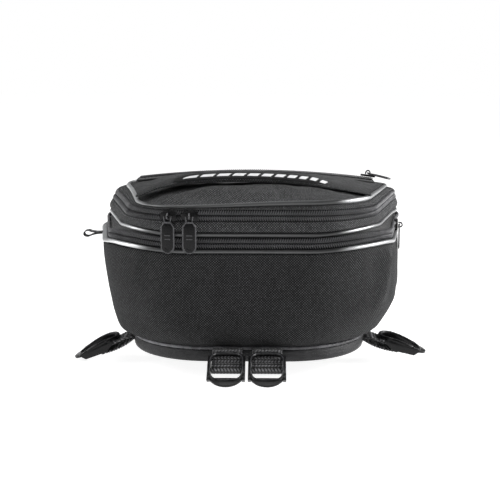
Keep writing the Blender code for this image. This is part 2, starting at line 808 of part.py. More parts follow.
def lip(root, tip, half):
    """The thumb lip: a flat crescent that tapers towards its tip."""
    span = tip - root
    plan = [
        (root, -half),
        (root + 0.35 * span, -half),
        (root + 0.8 * span, -half / 2),
        (tip, -half / 5),
        (tip, half / 5),
        (root + 0.8 * span, half / 2),
        (root + 0.35 * span, half),
        (root, half),
    ]
    faces = []
    for low in (True, False):
        root_z, tip_z = (4.0, 3.6) if low else (6.8, 4.9)
        faces.append([Vector((x, y, root_z + (tip_z - root_z) * (x - root) / span)) for x, y in plan])
    return stack(faces)


def strap_path():
    """Side view of a webbing loop, from the skirt out round the buckle's bar and back."""
    path = [Vector((0, LOOP_R * 0.55)), Vector((5, LOOP_R)), Vector((STRAP_LENGTH - 4, LOOP_R))]
    for step in range(7):
        angle = math.pi / 2 - math.pi * step / 6
        path.append(Vector((STRAP_LENGTH + LOOP_R * math.cos(angle), LOOP_R * math.sin(angle))))
    path += [Vector((STRAP_LENGTH - 4, -LOOP_R)), Vector((5, -LOOP_R)), Vector((0, -LOOP_R * 0.55))]
    return path


def make_strap(where, side, buckle, root, facing, droop):
    """A strap and its buckle. Facing is the outward direction's angle from +X, in degrees."""
    lowered = Matrix.Rotation(math.radians(droop), 3, "Y")
    turned = Matrix.Rotation(math.radians(facing), 3, "Z") @ lowered
    loop = ribbon(strap_path(), WEBBING_THICKNESS, -WEBBING / 2, WEBBING / 2)
    make_object(f"{where}_strap_{side}", loop, "webbing", root, turned)
    bar = Vector(root) + turned @ Vector((STRAP_LENGTH, 0, 0))
    place(f"{where}_buckle_{side}", buckle, "plastic", bar, turned)


def make_straps():
    buckle = buckle_mesh()
    front_y = BASE_PLAN["front"] - STRAP_STAND_OFF
    side_root = side_x(BASE_LINE, SIDE_STRAP_Y) + STRAP_STAND_OFF
    for sign, side, facing, droop in ((-1, "left", 180, LEFT_DROOP), (1, "right", 0, RIGHT_DROOP)):
        root = (sign * FRONT_STRAP_X, front_y, FRONT_STRAP_Z)
        make_strap("front", side, buckle, root, -90, FRONT_DROOP)
        root = (sign * side_root, SIDE_STRAP_Y, SIDE_STRAP_Z)
        make_strap("side", side, buckle, root, facing, droop)


# ---------------------------------------------------------------- the whole bag


def main():
    for thing in list(bpy.data.objects):
        bpy.data.objects.remove(thing)
    make_materials()
    make_base()
    make_lower_walls()
    make_lower_zip()
    make_side_loop()
    tier = axis_empty("upper_tier_guide", (0, 0, EXPANSION_ZIP_Z))
    make_upper_tier(tier)
    make_hinge_strip(tier)
    lid = axis_empty("lid_hinge_axis", (0, UPPER_PLAN["rear"], HINGE_Z))
    make_lid(lid)
    make_pocket_zip(lid)
    handle = axis_empty("handle_guide", (0, (HANDLE_FRONT + HANDLE_REAR) / 2, HANDLE_END_Z))
    make_handle(handle)
    make_main_sliders()
    make_expansion_slider()
    make_pocket_slider(lid)
    make_straps()


main()
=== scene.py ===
import json
import math

import bmesh
import bpy
import numpy as np
from mathutils import Matrix, Vector, noise


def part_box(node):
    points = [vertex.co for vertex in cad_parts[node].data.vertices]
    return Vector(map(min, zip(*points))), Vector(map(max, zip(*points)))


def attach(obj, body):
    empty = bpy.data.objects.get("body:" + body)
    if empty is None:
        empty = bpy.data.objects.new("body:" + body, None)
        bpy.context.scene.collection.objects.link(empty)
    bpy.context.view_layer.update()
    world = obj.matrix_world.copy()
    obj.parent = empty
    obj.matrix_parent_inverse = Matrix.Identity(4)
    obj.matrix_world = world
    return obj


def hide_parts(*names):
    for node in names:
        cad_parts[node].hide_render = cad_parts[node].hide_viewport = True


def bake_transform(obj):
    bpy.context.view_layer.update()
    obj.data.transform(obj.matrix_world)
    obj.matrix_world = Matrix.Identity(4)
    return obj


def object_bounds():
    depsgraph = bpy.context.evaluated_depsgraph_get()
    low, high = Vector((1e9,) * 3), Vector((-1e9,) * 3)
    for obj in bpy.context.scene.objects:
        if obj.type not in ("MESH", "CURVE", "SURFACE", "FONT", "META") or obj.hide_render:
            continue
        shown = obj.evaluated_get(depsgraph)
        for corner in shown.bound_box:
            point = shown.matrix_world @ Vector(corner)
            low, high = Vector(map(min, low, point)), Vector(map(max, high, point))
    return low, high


# The looks of an expandable tail bag: sewn fabric, piping, coil zips, webbing and moulded parts.
# Lengths are in mm until a mesh is made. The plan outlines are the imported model's in finer steps,
# and heights are read from its nodes.

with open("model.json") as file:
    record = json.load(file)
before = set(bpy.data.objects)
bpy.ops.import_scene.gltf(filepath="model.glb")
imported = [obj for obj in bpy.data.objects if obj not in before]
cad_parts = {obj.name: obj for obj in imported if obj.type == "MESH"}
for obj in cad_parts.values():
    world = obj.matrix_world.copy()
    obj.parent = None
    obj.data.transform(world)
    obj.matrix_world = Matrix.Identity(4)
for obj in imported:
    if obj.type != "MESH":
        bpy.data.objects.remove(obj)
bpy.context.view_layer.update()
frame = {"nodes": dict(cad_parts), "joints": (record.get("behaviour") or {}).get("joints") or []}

MM = 0.001
RIPPLE_SEED = 7  # without a seed, Blender's noise vectors change from run to run
noise.seed_set(RIPPLE_SEED)

# Plan outlines: half width at the front, front y, rear y, side flare in degrees, corner radii.
BASE_PLAN = dict(half=92.5, front=-95, rear=97, flare=10, front_radius=70, rear_radius=60)
LOWER_PLAN = dict(half=120, front=-106.5, rear=107, flare=8, front_radius=75, rear_radius=60)
UPPER_PLAN = dict(half=101, front=-105, rear=105, flare=13.5, front_radius=60, rear_radius=55)
LID_PLAN = dict(half=97, front=-103.5, rear=103.5, flare=12.5, front_radius=56, rear_radius=56)
CORNER_STEPS, FRONT_STEPS, SIDE_STEPS, REAR_STEPS = 28, 36, 28, 24
ZIP_FIRST = REAR_STEPS + CORNER_STEPS // 2  # the main zip runs between the rear corners' middles

# Fabric, piping and zips.
FABRIC = 1.6
PIPING_R = {"base": 1.45, "lower": 1.8, "middle": 1.7, "lid": 1.75}
TAPE_OUT, TAPE_THICK = -2.0, 0.8
COIL_PITCH = 2.0
COIL_POINTS = 10  # along one turn
WIRE_R, WIRE_SIDES = 0.38, 5
WIRE_REACH, WIRE_DEPTH = 1.85, 1.05
STITCH_LENGTH, STITCH_SPACING = 2.1, 3.3

# Lower bag.
SHELL_STEPS = 44
SHELL_BULGE = 1.8
FOAM_OUT, FOAM_THICK = -2.2, 4.0
LINING_OUT, LINING_THICK = -6.8, 0.8
CREASE_HEIGHT, CREASE_WIDTH = 6.2, 5.0  # the fold at the front right corner, mm and degrees
GUSSET_FOLDS, GUSSET_DEPTH = 3, 1.6

# Lid, pocket zip and handle.
LID_CREST = 10.0
LID_PILLOW = 5.4
BAND_STEPS = 24
POCKET_Y, POCKET_CREST, POCKET_RADIUS = 50.0, 148.0, 909.0
POCKET_LEFT, POCKET_RIGHT = -108.0, 118.0
HANDLE_FRONT, HANDLE_REAR = -72.0, -32.0
HANDLE_MIDDLE = (HANDLE_FRONT + HANDLE_REAR) / 2
HANDLE_END_X, HANDLE_RISE, GRIP_HALF = 106.0, 13.0, 74.0
GRIP_THICK = 6.6
PATCH_HALF = 64.0
PRINT_BARS, PRINT_START, PRINT_GAP, PRINT_SLANT = 11, -56.0, 3.4, 3.0

LID_FOLDS = (  # start, end, width and height of the soft folds in the lid's cloth
    ((-84, -93), (-50, -75), 3.2, 1.5),
    ((-80, -86), (-40, -66), 4.5, -1.3),
    ((48, -72), (86, -84), 3.4, 1.4),
    ((62, -66), (92, -76), 3.6, -1.2),
    ((-30, -92), (30, -90), 6.0, 0.8),
    ((-60, 10), (20, -8), 8.0, 1.2),
    ((30, 20), (80, 5), 7.0, -1.0),
)

# Sliders and pulls.
SLIDER_HALF, SLIDER_OUT, SLIDER_PLATE, SLIDER_BACK = 6.75, 1.4, 1.5, 5.9
CROWN_R, CROWN_BAR_R = 2.15, 0.75
RUNG_R = 0.7
PULL_HALF = 5.4
PULL_LENGTH, SHORT_PULL_LENGTH = 31.0, 22.0
POCKET_PULL_DROOP = 14

# Webbing and buckles, in each buckle's own frame: x away from the bag, z out of its face.
WEBBING, WEBBING_THICK = 25.6, 1.5
WEBBING_RIB, WEBBING_RIB_PITCH = 0.32, 2.4
WEBBING_ROW, WEBBING_YARN = 4.4, 2.8
BUCKLE_HALF, RAIL, BAR_R = 15.8, 2.6, 1.6
LOOP_R = BAR_R + 0.3 + WEBBING_THICK / 2
STRAP_LENGTH = 27.0
STRAPS = {  # root, facing and droop in degrees
    "front_left": ((-17.0, -98.4, 9.8), -90, 19),
    "front_right": ((17.0, -98.4, 9.8), -90, 19),
    "side_left": ((-108.24, -25.0, 5.2), 180, 24),
    "side_right": ((108.24, -25.0, 5.2), 0, 17),
}

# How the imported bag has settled.
LID_TILT = 2.4  # the lid's front edge: down on the left, up on the right
REAR_SAG = 2.8  # the lid's rear right corner, down
RIGHT_BULGE = 6.2  # the tier's right side behind the expansion slider, outwards
LEFT_STEP = 3.4  # the zips' left side, inwards
LEFT_LEAN = 9.5  # the lid's left edge, inwards
CORNER_RISE = 2.8  # the seams at the front corners, up

# Stage: light name, place in m, size in m, power in W.
LIGHTS = (
    ("left_box", (-1.3, -0.15, 0.6), 0.9, 10),
    ("right_box", (1.35, 0.0, 0.5), 0.9, 30),
    ("top_box", (0.0, 0.35, 1.3), 1.0, 9),
    ("front_fill", (-0.3, -1.5, 0.9), 0.5, 3.0),
)
LIT_POINT = (0, 0, 0.08)
WALLS_START, WALLS_END, CEILING_LIGHT, WALL_LIGHT = 0.35, 0.95, 0.13, 0.9
FLOOR_SIZE, FLOOR_GLOW = 6.0, 0.87
CAMERA_DISTANCE, CAMERA_AZIMUTH, CAMERA_HEIGHT = 1076.0, -0.96, 267.4
CAMERA_YAW, CAMERA_PITCH, CAMERA_LENS = -0.92, 9.81, 84.8


# ---------------------------------------------------------------- plan outlines


def top(node):
    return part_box(node)[1].z / MM


def bottom(node):
    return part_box(node)[0].z / MM


def middle(node):
    return (top(node) + bottom(node)) / 2


def outline(half, front, rear, flare, front_radius, rear_radius):
    """Plan outline from the rear centre round the left side, the front and the right side."""
    rear_half = half + math.tan(math.radians(flare)) * (rear - front)
    corners = [
        (Vector((-rear_half, rear)), rear_radius),
        (Vector((-half, front)), front_radius),
        (Vector((half, front)), front_radius),
        (Vector((rear_half, rear)), rear_radius),
    ]
    steps = [REAR_STEPS, SIDE_STEPS, FRONT_STEPS, SIDE_STEPS, REAR_STEPS]
    rear_centre = Vector((0, rear))
    before = [rear_centre] + [corner for corner, _ in corners[:-1]]
    after = [corner for corner, _ in corners[1:]] + [rear_centre]
    points = [rear_centre]
    for index, (corner, radius) in enumerate(corners):
        arc = corner_arc(before[index], corner, after[index], radius)
        points += straight(points[-1], arc[0], steps[index])
        points += arc[1:]
    points += straight(points[-1], rear_centre, steps[-1])[:-1]
    return np.array([tuple(point) for point in points])


def straight(start, end, steps):
    return [start.lerp(end, step / steps) for step in range(1, steps + 1)]


def corner_arc(before, corner, after, radius):
    inward = (corner - before).normalized()
    onward = (after - corner).normalized()
    turn = inward.angle(onward)
    start = corner - inward * radius * math.tan(turn / 2)
    centre = start + Vector((-inward.y, inward.x)) * radius
    spoke = start - centre
    angles = [turn * step / CORNER_STEPS for step in range(CORNER_STEPS + 1)]
    return [centre + Matrix.Rotation(angle, 2) @ spoke for angle in angles]


def normals_of(points):
    along = unit(np.roll(points, -1, axis=0) - np.roll(points, 1, axis=0))
    return np.stack([along[:, 1], -along[:, 0]], axis=1)


def unit(vectors):
    return vectors / np.linalg.norm(vectors, axis=1)[:, None]


def ring(points, out, height):
    """The outline moved outwards, at a height. Both may differ from point to point."""
    moved = points + normals_of(points) * np.reshape(out, (-1, 1))
    return np.column_stack([moved, np.broadcast_to(height, len(points))])


def smooth(value, low, high):
    share = np.clip((value - low) / (high - low), 0, 1)
    return share * share * (3 - 2 * share)


def settle(points):
    """Moves points of the upper bag as its fabric has settled. Each move starts from the last."""
    points = np.array(points, float)
    x, y, z = points.T
    lid_share = smooth(z, 132.5, 138) * smooth(-y, -20, 70)
    bulge_share = smooth(x, 70, 130) * smooth(y, 28, 74) * smooth(z, 97, 108) * smooth(-z, -138, -118)
    z += LID_TILT * np.tanh((x + 5) / 45) * lid_share
    z -= REAR_SAG * smooth(x, 10, 100) * smooth(y, 15, 95) * smooth(z, 130, 137)
    x += RIGHT_BULGE * bulge_share
    z += corner_rise(points)
    x += LEFT_STEP * smooth(-x, 60, 125) * smooth(z, 96.5, 101)
    x += LEFT_LEAN * smooth(-x, 45, 120) * np.clip((z - 117) / 20.5, 0, 1) ** 1.3
    return points


def settled(rings):
    return [settle(points) for points in rings]


def corner_rise(points):
    """How far the seams under the main zip ride up round the two front corners."""
    x, y, z = points.T
    at_corner = smooth(np.abs(x), 52, 108) * smooth(-y, 38, 76)
    return CORNER_RISE * at_corner * smooth(z, 78, 98) * smooth(-z, -126, -113)


def wander(points, size, amount, seed):
    """Smooth noise in every direction, for cloth that is never quite true."""
    shift = Vector((seed * 7.3, seed * 3.1, seed * 5.7))
    return np.array([noise.noise_vector(Vector(p) / size + shift) * amount for p in points])


BASE_LINE = outline(**BASE_PLAN)
LOWER_LINE = outline(**LOWER_PLAN)
UPPER_LINE = outline(**UPPER_PLAN)
LID_LINE = outline(**LID_PLAN)
EXPANSION_LINE = LOWER_LINE - normals_of(LOWER_LINE) * 2.0
ZIP_SPAN = slice(ZIP_FIRST, len(UPPER_LINE) - ZIP_FIRST + 1)


# ---------------------------------------------------------------- meshes


def loft(name, rings, around=True, shut=True, flat_uv=False, weld=False):
    """A skin through rings of equal counts, with lengths in mm as its UVs.

    Around joins each ring's ends, and shut joins the last ring to the first. A shut skin that
    isn't around gets end caps, and an around skin that isn't shut stays an open sheet. Weld merges
    points that meet, where rings shrink to a centre.
    """
    rings = np.array(rings, float)
    count, stations = rings.shape[:2]
    k = np.arange(count if shut else count - 1)
    i = np.arange(stations if around else stations - 1)
    k, i = (grid.ravel() for grid in np.meshgrid(k, i, indexing="ij"))
    k_next, i_next = (k + 1) % count, (i + 1) % stations
    corners = ((k, i), (k, i_next), (k_next, i_next), (k_next, i))
    faces = np.stack([row * stations + station for row, station in corners], axis=1).tolist()
    if flat_uv:
        uvs = rings.reshape(-1, 3)[np.array(faces)][..., :2].reshape(-1, 2)
    else:
        uvs = lengths_as_uvs(rings, k, i, k_next)
    if shut and not around:
        faces += [[row * stations + station for row in range(count)] for station in (0, stations - 1)]
        section = rings[:, (0, -1)].swapaxes(0, 1).reshape(-1, 3)[:, 1:]
        uvs = np.vstack([uvs, section])
    mesh = bpy.data.meshes.new(name)
    mesh.from_pydata((rings.reshape(-1, 3) * MM).tolist(), [], faces)
    layer = mesh.uv_layers.new(name="Cloth")
    layer.data.foreach_set("uv", uvs.astype(np.float32).ravel())
    face_outwards(mesh, weld)
    mesh.shade_smooth()
    return mesh


def lengths_as_uvs(rings, k, i, k_next):
    """UVs of each face's corners: the length along its own ring, and the mean length up the rings."""
    steps = np.linalg.norm(np.roll(rings, -1, axis=1) - rings, axis=2)
    u = np.concatenate([np.zeros((len(rings), 1)), np.cumsum(steps, axis=1)], axis=1)
    u -= u[:, rings.shape[1] // 2, None]
    rises = np.linalg.norm(np.roll(rings, -1, axis=0) - rings, axis=2)
    v = np.concatenate([[0], np.cumsum(rises.mean(axis=1))])
    corners = ((k, i, k), (k, i + 1, k), (k_next, i + 1, k + 1), (k_next, i, k + 1))
    uvs = [np.stack([u[row, at], v[up]], axis=1) for row, at, up in corners]
    return np.stack(uvs, axis=1).reshape(-1, 2)


def face_outwards(mesh, weld=False):
    build = bmesh.new()
    build.from_mesh(mesh)
    if weld:
        bmesh.ops.remove_doubles(build, verts=build.verts, dist=0.01 * MM)
    bmesh.ops.recalc_face_normals(build, faces=build.faces)
    build.to_mesh(mesh)
    build.free()


def show(name, mesh, look, body=None, nodes=(), sharp=None):
    """Makes a piece from a mesh, in the look of that name. It stands for the given nodes."""
    thing = bpy.data.objects.new(name, mesh)
    bpy.context.collection.objects.link(thing)
    mesh.materials.append(LOOKS[look])
    if sharp:
        mesh.set_sharp_from_angle(angle=math.radians(sharp))
    if body:
        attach(thing, body)
    if nodes:
        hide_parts(*nodes)
    return thing


def sew(name, rings, look, body, *nodes, **how):
    """Lofts a piece and shows it."""
    return show(name, loft(name, rings, **how), look, body, nodes)


def sheet_rings(levels, thickness):
    """Rings of a thin sheet: out along its outer levels and back along its inner side."""
    outer = [ring(points, out, height) for points, out, height in levels]
    inner = [ring(points, out - thickness, height) for points, out, height in reversed(levels)]
    return outer + inner


def puffed(line, low, high, bulge, thickness, steps):
    """Rings of a band that is fuller between its two seams."""
    levels = []
    for share in np.arange(steps) / (steps - 1):
        out = bulge * math.sin(math.pi * share) ** 0.7
        levels.append((line, out, low + (high - low) * share))
    return sheet_rings(levels, thickness)


def cord(word, line, out, look, body):
    """A round piping on an outline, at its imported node's height."""
    node = f"{word}_piping"
    height, radius = middle(node), PIPING_R[word]
    angles = [2 * math.pi * side / 12 for side in range(12)]
    rings = [ring(line, out + radius * math.cos(a), height + radius * math.sin(a)) for a in angles]
    sew(f"{node}_cord", rings if word == "base" else settled(rings), look, body, node)


def tube_rings(path, radius, first, second, sides):
    """Rings of a round bar along a path, given the two directions across it."""
    angles = [2 * math.pi * side / sides for side in range(sides)]
    return [path + radius * (math.cos(a) * first + math.sin(a) * second) for a in angles]


def along_line(points, closed):
    """Functions of arc length on an outline: place, outward normal, and the total length."""
    normals = normals_of(points)
    if closed:
        points = np.vstack([points, points[:1]])
        normals = np.vstack([normals, normals[:1]])
    lengths = running_length(points)

    def place(s):
        return interpolate(s, lengths, points)

    def normal(s):
        return unit(interpolate(s, lengths, normals))

    return place, normal, lengths[-1]


def running_length(path):
    return np.concatenate([[0], np.cumsum(np.linalg.norm(np.diff(path, axis=0), axis=1))])


def interpolate(s, lengths, values):
    return np.stack([np.interp(s, lengths, column) for column in values.T], axis=-1)


# ---------------------------------------------------------------- materials


class Look:
    """A Principled material built from nodes."""

    def __init__(self, name, roughness=0.8, metallic=0.0, sheen=0.0, coat=0.0, specular=0.5):
        self.material = bpy.data.materials.new(name)
        self.material.use_nodes = True
        self.tree = self.material.node_tree
        self.surface = self.tree.nodes["Principled BSDF"]
        for socket, value in (
            ("Roughness", roughness),
            ("Metallic", metallic),
            ("Sheen Weight", sheen),
            ("Sheen Roughness", 0.4),
            ("Coat Weight", coat),
            ("Coat Roughness", 0.15),
            ("Specular IOR Level", specular),
        ):
            self.surface.inputs[socket].default_value = value

    def node(self, kind, *inputs, **settings):
        made = self.tree.nodes.new(f"ShaderNode{kind}")
        for name, value in settings.items():
            setattr(made, name, value)
        for socket, value in zip(made.inputs, inputs):
            self.feed(socket, value)
        return made

    def feed(self, socket, value):
        if isinstance(value, bpy.types.NodeSocket):
            self.tree.links.new(value, socket)
        elif value is not None:
            socket.default_value = value

    def math(self, operation, a, b=0.0):
        return self.node("Math", a, b, operation=operation).outputs[0]

    def times(self, a, b):
        return self.math("MULTIPLY", a, b)

    def plus(self, a, b):
        return self.math("ADD", a, b)

    def cloth(self):
        """The two sewing directions, in mm."""
        uv = self.node("UVMap", uv_map="Cloth")
        split = self.node("SeparateXYZ", uv.outputs[0])
        return split.outputs[0], split.outputs[1]

    def vector(self, x, y, z=0.0):
        return self.node("CombineXYZ", x, y, z).outputs[0]

    def place(self):
        """The point's place in mm."""
        spot = self.node("TexCoord").outputs["Object"]
        return self.stretched(spot, (1000, 1000, 1000))

    def stretched(self, vector, scale):
        return self.node("VectorMath", vector, scale, operation="MULTIPLY").outputs[0]

    def ridges(self, value, pitch):
        """A row of round ridges: 0 between them and 1 on top."""
        return self.math("ABSOLUTE", self.math("SINE", self.times(value, math.pi / pitch)))

    def grain(self, vector, size, detail=3.0):
        made = self.node("TexNoise", vector)
        made.inputs["Scale"].default_value = 1 / size
        made.inputs["Detail"].default_value = detail
        return made.outputs[0]

    def cells(self, vector, size):
        made = self.node("TexVoronoi", vector)
        made.inputs["Scale"].default_value = 1 / size
        return made.outputs["Distance"]

    def between(self, share, low, high):
        """A value that runs from low to high as share runs from 0 to 1."""
        return self.node("MapRange", share, 0.0, 1.0, low, high).outputs[0]

    def fade(self, value, start, end):
        """Runs smoothly from 0 to 1 between two values."""
        made = self.node("MapRange", value, start, end, 0.0, 1.0, interpolation_type="SMOOTHSTEP")
        return made.outputs[0]

    def shade(self, colour, amount):
        """A colour made darker or lighter by an amount around 1."""
        made = self.node("VectorMath", colour, amount, operation="SCALE")
        self.feed(made.inputs["Scale"], amount)
        self.feed(self.surface.inputs["Base Color"], made.outputs[0])

    def roughen(self, value):
        self.feed(self.surface.inputs["Roughness"], value)

    def bump(self, height, depth):
        made = self.node("Bump")
        made.inputs["Strength"].default_value = 1.0
        made.inputs["Distance"].default_value = depth * MM
        self.feed(made.inputs["Height"], height)
        self.feed(self.surface.inputs["Normal"], made.outputs[0])


def woven(name, colour, pitch, fleck=0.4, wear=0.3, sheen=0.04, roughness=0.88):
    """Cloth of two yarns: painted highlight on the top one in diagonal flecks, painted shade between yarns.
    """
    look = Look(name, roughness=roughness, sheen=sheen, specular=0.15)
    u, v = look.cloth()
    a, b = look.times(u, 1 / pitch), look.times(v, 1 / pitch)
    column, row = look.math("FLOOR", a), look.math("FLOOR", b)
    diagonal = look.times(look.plus(column, row), 0.5)
    over = look.math("LESS_THAN", look.math("FRACT", diagonal), 0.5)
    warp, weft = look.ridges(a, 1), look.ridges(b, 1)
    yarn = look.vector(column, look.math("FLOOR", diagonal))
    chance = look.node("TexWhiteNoise", yarn, noise_dimensions="2D").outputs["Value"]
    patchy = look.grain(look.place(), 28, 4.0)
    yarn_highlight = look.times(over, look.math("POWER", look.times(warp, weft), 0.8))
    # Painted highlight on the yarn tops and painted shade between them; the random spread of flecks is the
    # yarns' own.
    tone = look.times(look.between(yarn_highlight, 0.3, 3.0), look.between(chance, 1 - fleck, 1 + fleck))
    look.shade(colour, look.times(tone, look.between(patchy, 1 - wear, 1 + wear)))
    look.bump(look.node("Mix", over, None, warp, weft).outputs[0], 0.4)
    return look.material


def ribbed_tape():
    """Zip tape: fine cords along its length, painted lighter on top and darker in the grooves."""
    look = Look("zip_tape", roughness=0.75, sheen=0.2, specular=0.35)
    u, v = look.cloth()
    height = look.plus(look.ridges(v, 0.9), look.times(look.ridges(u, 0.7), 0.3))
    # Near black, in part the tape's own and in part painted shade round the coils; painted highlight on
    # cord tops, painted shade between.
    look.shade((0.009, 0.009, 0.0095), look.between(height, 0.4, 1.6))
    look.bump(height, 0.25)
    return look.material


def herringbone():
    """Webbing: rows of slanting yarns across the strap that lean the other way in each next row."""
    look = Look("webbing", roughness=0.55, sheen=0.15, specular=0.45)
    u, v = look.cloth()
    zigzag = look.math("PINGPONG", u, WEBBING_ROW)
    yarns = look.ridges(look.plus(v, look.times(zigzag, 0.55)), WEBBING_YARN)
    rows = look.ridges(u, WEBBING_ROW)
    chance = look.grain(look.vector(u, v), 1.6, 2.0)
    yarn_highlight = look.math("POWER", look.times(yarns, rows), 2.0)
    # Painted highlight on the yarn tops, far lighter than the gaps between them, which get painted shade.
    tone = look.times(look.between(yarn_highlight, 0.12, 13.0), look.between(chance, 0.2, 1.9))
    look.shade((0.019, 0.019, 0.020), tone)
    look.bump(look.times(yarns, rows), 0.8)
    return look.material


def reflective():
    """Retroreflective piping: silver with a fine hatch, with painted shade on its front and on its right
    side.
    """
    look = Look("reflective_piping", roughness=0.3, metallic=0.85, specular=0.5)
    u, v = look.cloth()
    hatch = look.ridges(look.plus(u, look.times(v, 0.8)), 0.9)
    beads = look.grain(look.place(), 0.35, 2.0)
    dust = look.grain(look.place(), 17, 3.0)
    tone = look.times(look.between(hatch, 0.8, 1.05), look.between(dust, 0.8, 1.1))
    where = look.node("SeparateXYZ", look.place())
    x, y = where.outputs[0], where.outputs[1]
    aside = look.math("ABSOLUTE", look.plus(x, 4.0))
    # Painted shade: the front middle of the piping is darkened to 0.13 of its colour.
    wear_and_shade_zone = look.times(look.fade(aside, 100, 78), look.fade(y, -60, -88))
    tone = look.times(tone, look.between(wear_and_shade_zone, 1.0, 0.13))
    # Painted shade: the right side darkens to 0.55 of its colour.
    right_side_shade = look.fade(x, 20, 100)
    look.shade((0.74, 0.75, 0.76), look.times(tone, look.between(right_side_shade, 1.0, 0.55)))
    look.roughen(look.between(beads, 0.22, 0.48))
    look.bump(look.plus(hatch, look.times(beads, 0.6)), 0.05)
    return look.material


def vinyl(name, colour, gloss, wrinkle):
    """Coated fabric: a fine pebble, soft wrinkles and paler scuffs, most of them on the left."""
    look = Look(name, roughness=gloss, specular=0.3)
    spot = look.place()
    folds = look.grain(look.stretched(spot, (0.45, 0.45, 1.6)), 6)
    scuffs = look.math("POWER", look.grain(spot, 9, 5.0), 3.0)
    wear_and_shade_zone = look.fade(look.node("SeparateXYZ", spot).outputs[0], -40, -75)
    scuffs = look.times(scuffs, look.between(wear_and_shade_zone, 0.7, 2.0))
    look.shade(colour, look.between(scuffs, 0.6, 5.0))
    look.roughen(look.between(scuffs, gloss - 0.12, gloss + 0.5))
    look.bump(look.plus(look.times(folds, wrinkle), look.cells(spot, 0.9)), 0.35)
    return look.material


def moulded(name, colour, roughness, coat, chips):
    """Moulded or painted black part: a slight orange peel, handling marks and worn spots."""
    look = Look(name, roughness=roughness, coat=coat, specular=0.2)
    spot = look.place()
    marks = look.grain(look.stretched(spot, (0.25, 1.4, 1.0)), 1.1)
    worn = look.math("POWER", look.grain(spot, 2.2, 6.0), 5.0)
    look.shade(colour, look.between(worn, 0.9, 0.9 + chips))
    look.roughen(look.between(marks, roughness - 0.12, roughness + 0.18))
    look.bump(look.grain(spot, 1.6, 2.0), 0.03)
    return look.material


def nylon_coil():
    """Zip wire: smooth nylon, a little lighter where the slider has rubbed it."""
    look = Look("coil_nylon", roughness=0.3, specular=0.4)
    rub = look.grain(look.place(), 14, 3.0)
    # Lighter than the black tape: in part a painted highlight on the lit teeth.
    look.shade((0.078, 0.078, 0.082), look.between(rub, 0.5, 1.6))
    look.roughen(look.between(rub, 0.45, 0.22))
    look.bump(look.grain(look.place(), 0.5), 0.02)
    return look.material


def ripstop():
    """Lining: thin nylon with a grid of thicker yarns."""
    look = Look("ripstop_lining", roughness=0.55, sheen=0.2, specular=0.4)
    u, v = look.cloth()
    lines = [look.math("POWER", look.ridges(way, 5.0), 24.0) for way in (u, v)]
    grid = look.math("MAXIMUM", *lines)
    weave = look.times(look.ridges(u, 0.45), look.ridges(v, 0.45))
    creases = look.grain(look.place(), 24, 4.0)
    tone = look.plus(look.between(weave, 0.8, 1.05), look.times(grid, 0.35))
    look.shade((0.060, 0.060, 0.064), look.times(tone, look.between(creases, 0.8, 1.2)))
    look.bump(look.plus(grid, look.times(creases, 2.5)), 0.3)
    return look.material


def cellular():
    """Closed-cell foam."""
    look = Look("cell_foam", roughness=0.95, specular=0.2)
    cells = look.cells(look.place(), 0.8)
    look.shade((0.12, 0.12, 0.125), look.between(cells, 1.25, 0.6))
    look.bump(cells, 0.3)
    return look.material


def pressed_board():
    look = Look("pressed_board", roughness=0.7, specular=0.3)
    fibres = look.grain(look.stretched(look.place(), (0.2, 2, 1)), 1.5, 6)
    look.shade((0.060, 0.060, 0.062), look.between(fibres, 0.6, 1.4))
    look.bump(fibres, 0.12)
    return look.material


def printed():
    """Silver-white transfer print with a trace of the weave below it."""
    look = Look("transfer_print", roughness=0.5, specular=0.4)
    wear = look.grain(look.place(), 3.5, 5.0)
    look.shade((0.75, 0.75, 0.76), look.between(wear, 0.75, 1.1))
    look.bump(look.grain(look.place(), 0.6), 0.05)
    return look.material


def thread():
    look = Look("sewing_thread", roughness=0.6, sheen=0.3, specular=0.4)
    strands = look.grain(look.place(), 0.5, 2.0)
    look.shade((0.050, 0.050, 0.053), look.between(strands, 0.6, 1.6))
    look.bump(strands, 0.05)
    return look.material


LOOKS = {
    "fabric": woven("body_twill", (0.0265, 0.0268, 0.0276), 1.15, fleck=0.25),
    # The lid's cloth is lighter than the body's: in part its own paler grey, in part painted light on the
    # bag's top.
    "lid_fabric": woven("lid_weave", (0.046, 0.0465, 0.048), 1.1, wear=0.2, sheen=0.08),
    "handle_fabric": woven("handle_weave", (0.025, 0.0255, 0.0265), 1.1, sheen=0.08),
    "band_fabric": woven("band_twill", (0.054, 0.0545, 0.056), 1.1),
    "label": woven("label_weave", (0.006, 0.006, 0.0065), 0.8, roughness=0.6),
    "tape": ribbed_tape(),
    "webbing": herringbone(),
    "reflective": reflective(),
    "vinyl": vinyl("coated_base", (0.011, 0.011, 0.012), 0.5, 4.0),
    "dark_piping": vinyl("dark_piping", (0.060, 0.060, 0.064), 0.3, 0.5),
    "plastic": moulded("black_acetal", (0.005, 0.005, 0.0055), 0.27, 0.1, 2.0),
    "metal": moulded("black_zinc", (0.004, 0.004, 0.0045), 0.24, 0.0, 4.0),
    # A lighter black for rims, bars and ridges: a painted highlight where light catches their edges.
    "painted_highlight_edge": moulded("painted_highlight_edge", (0.045, 0.045, 0.048), 0.22, 0.4, 5.0),
    "coil": nylon_coil(),
    "lining": ripstop(),
    "foam": cellular(),
    "board": pressed_board(),
    "print": printed(),
    "thread": thread(),
}


# ---------------------------------------------------------------- sewing


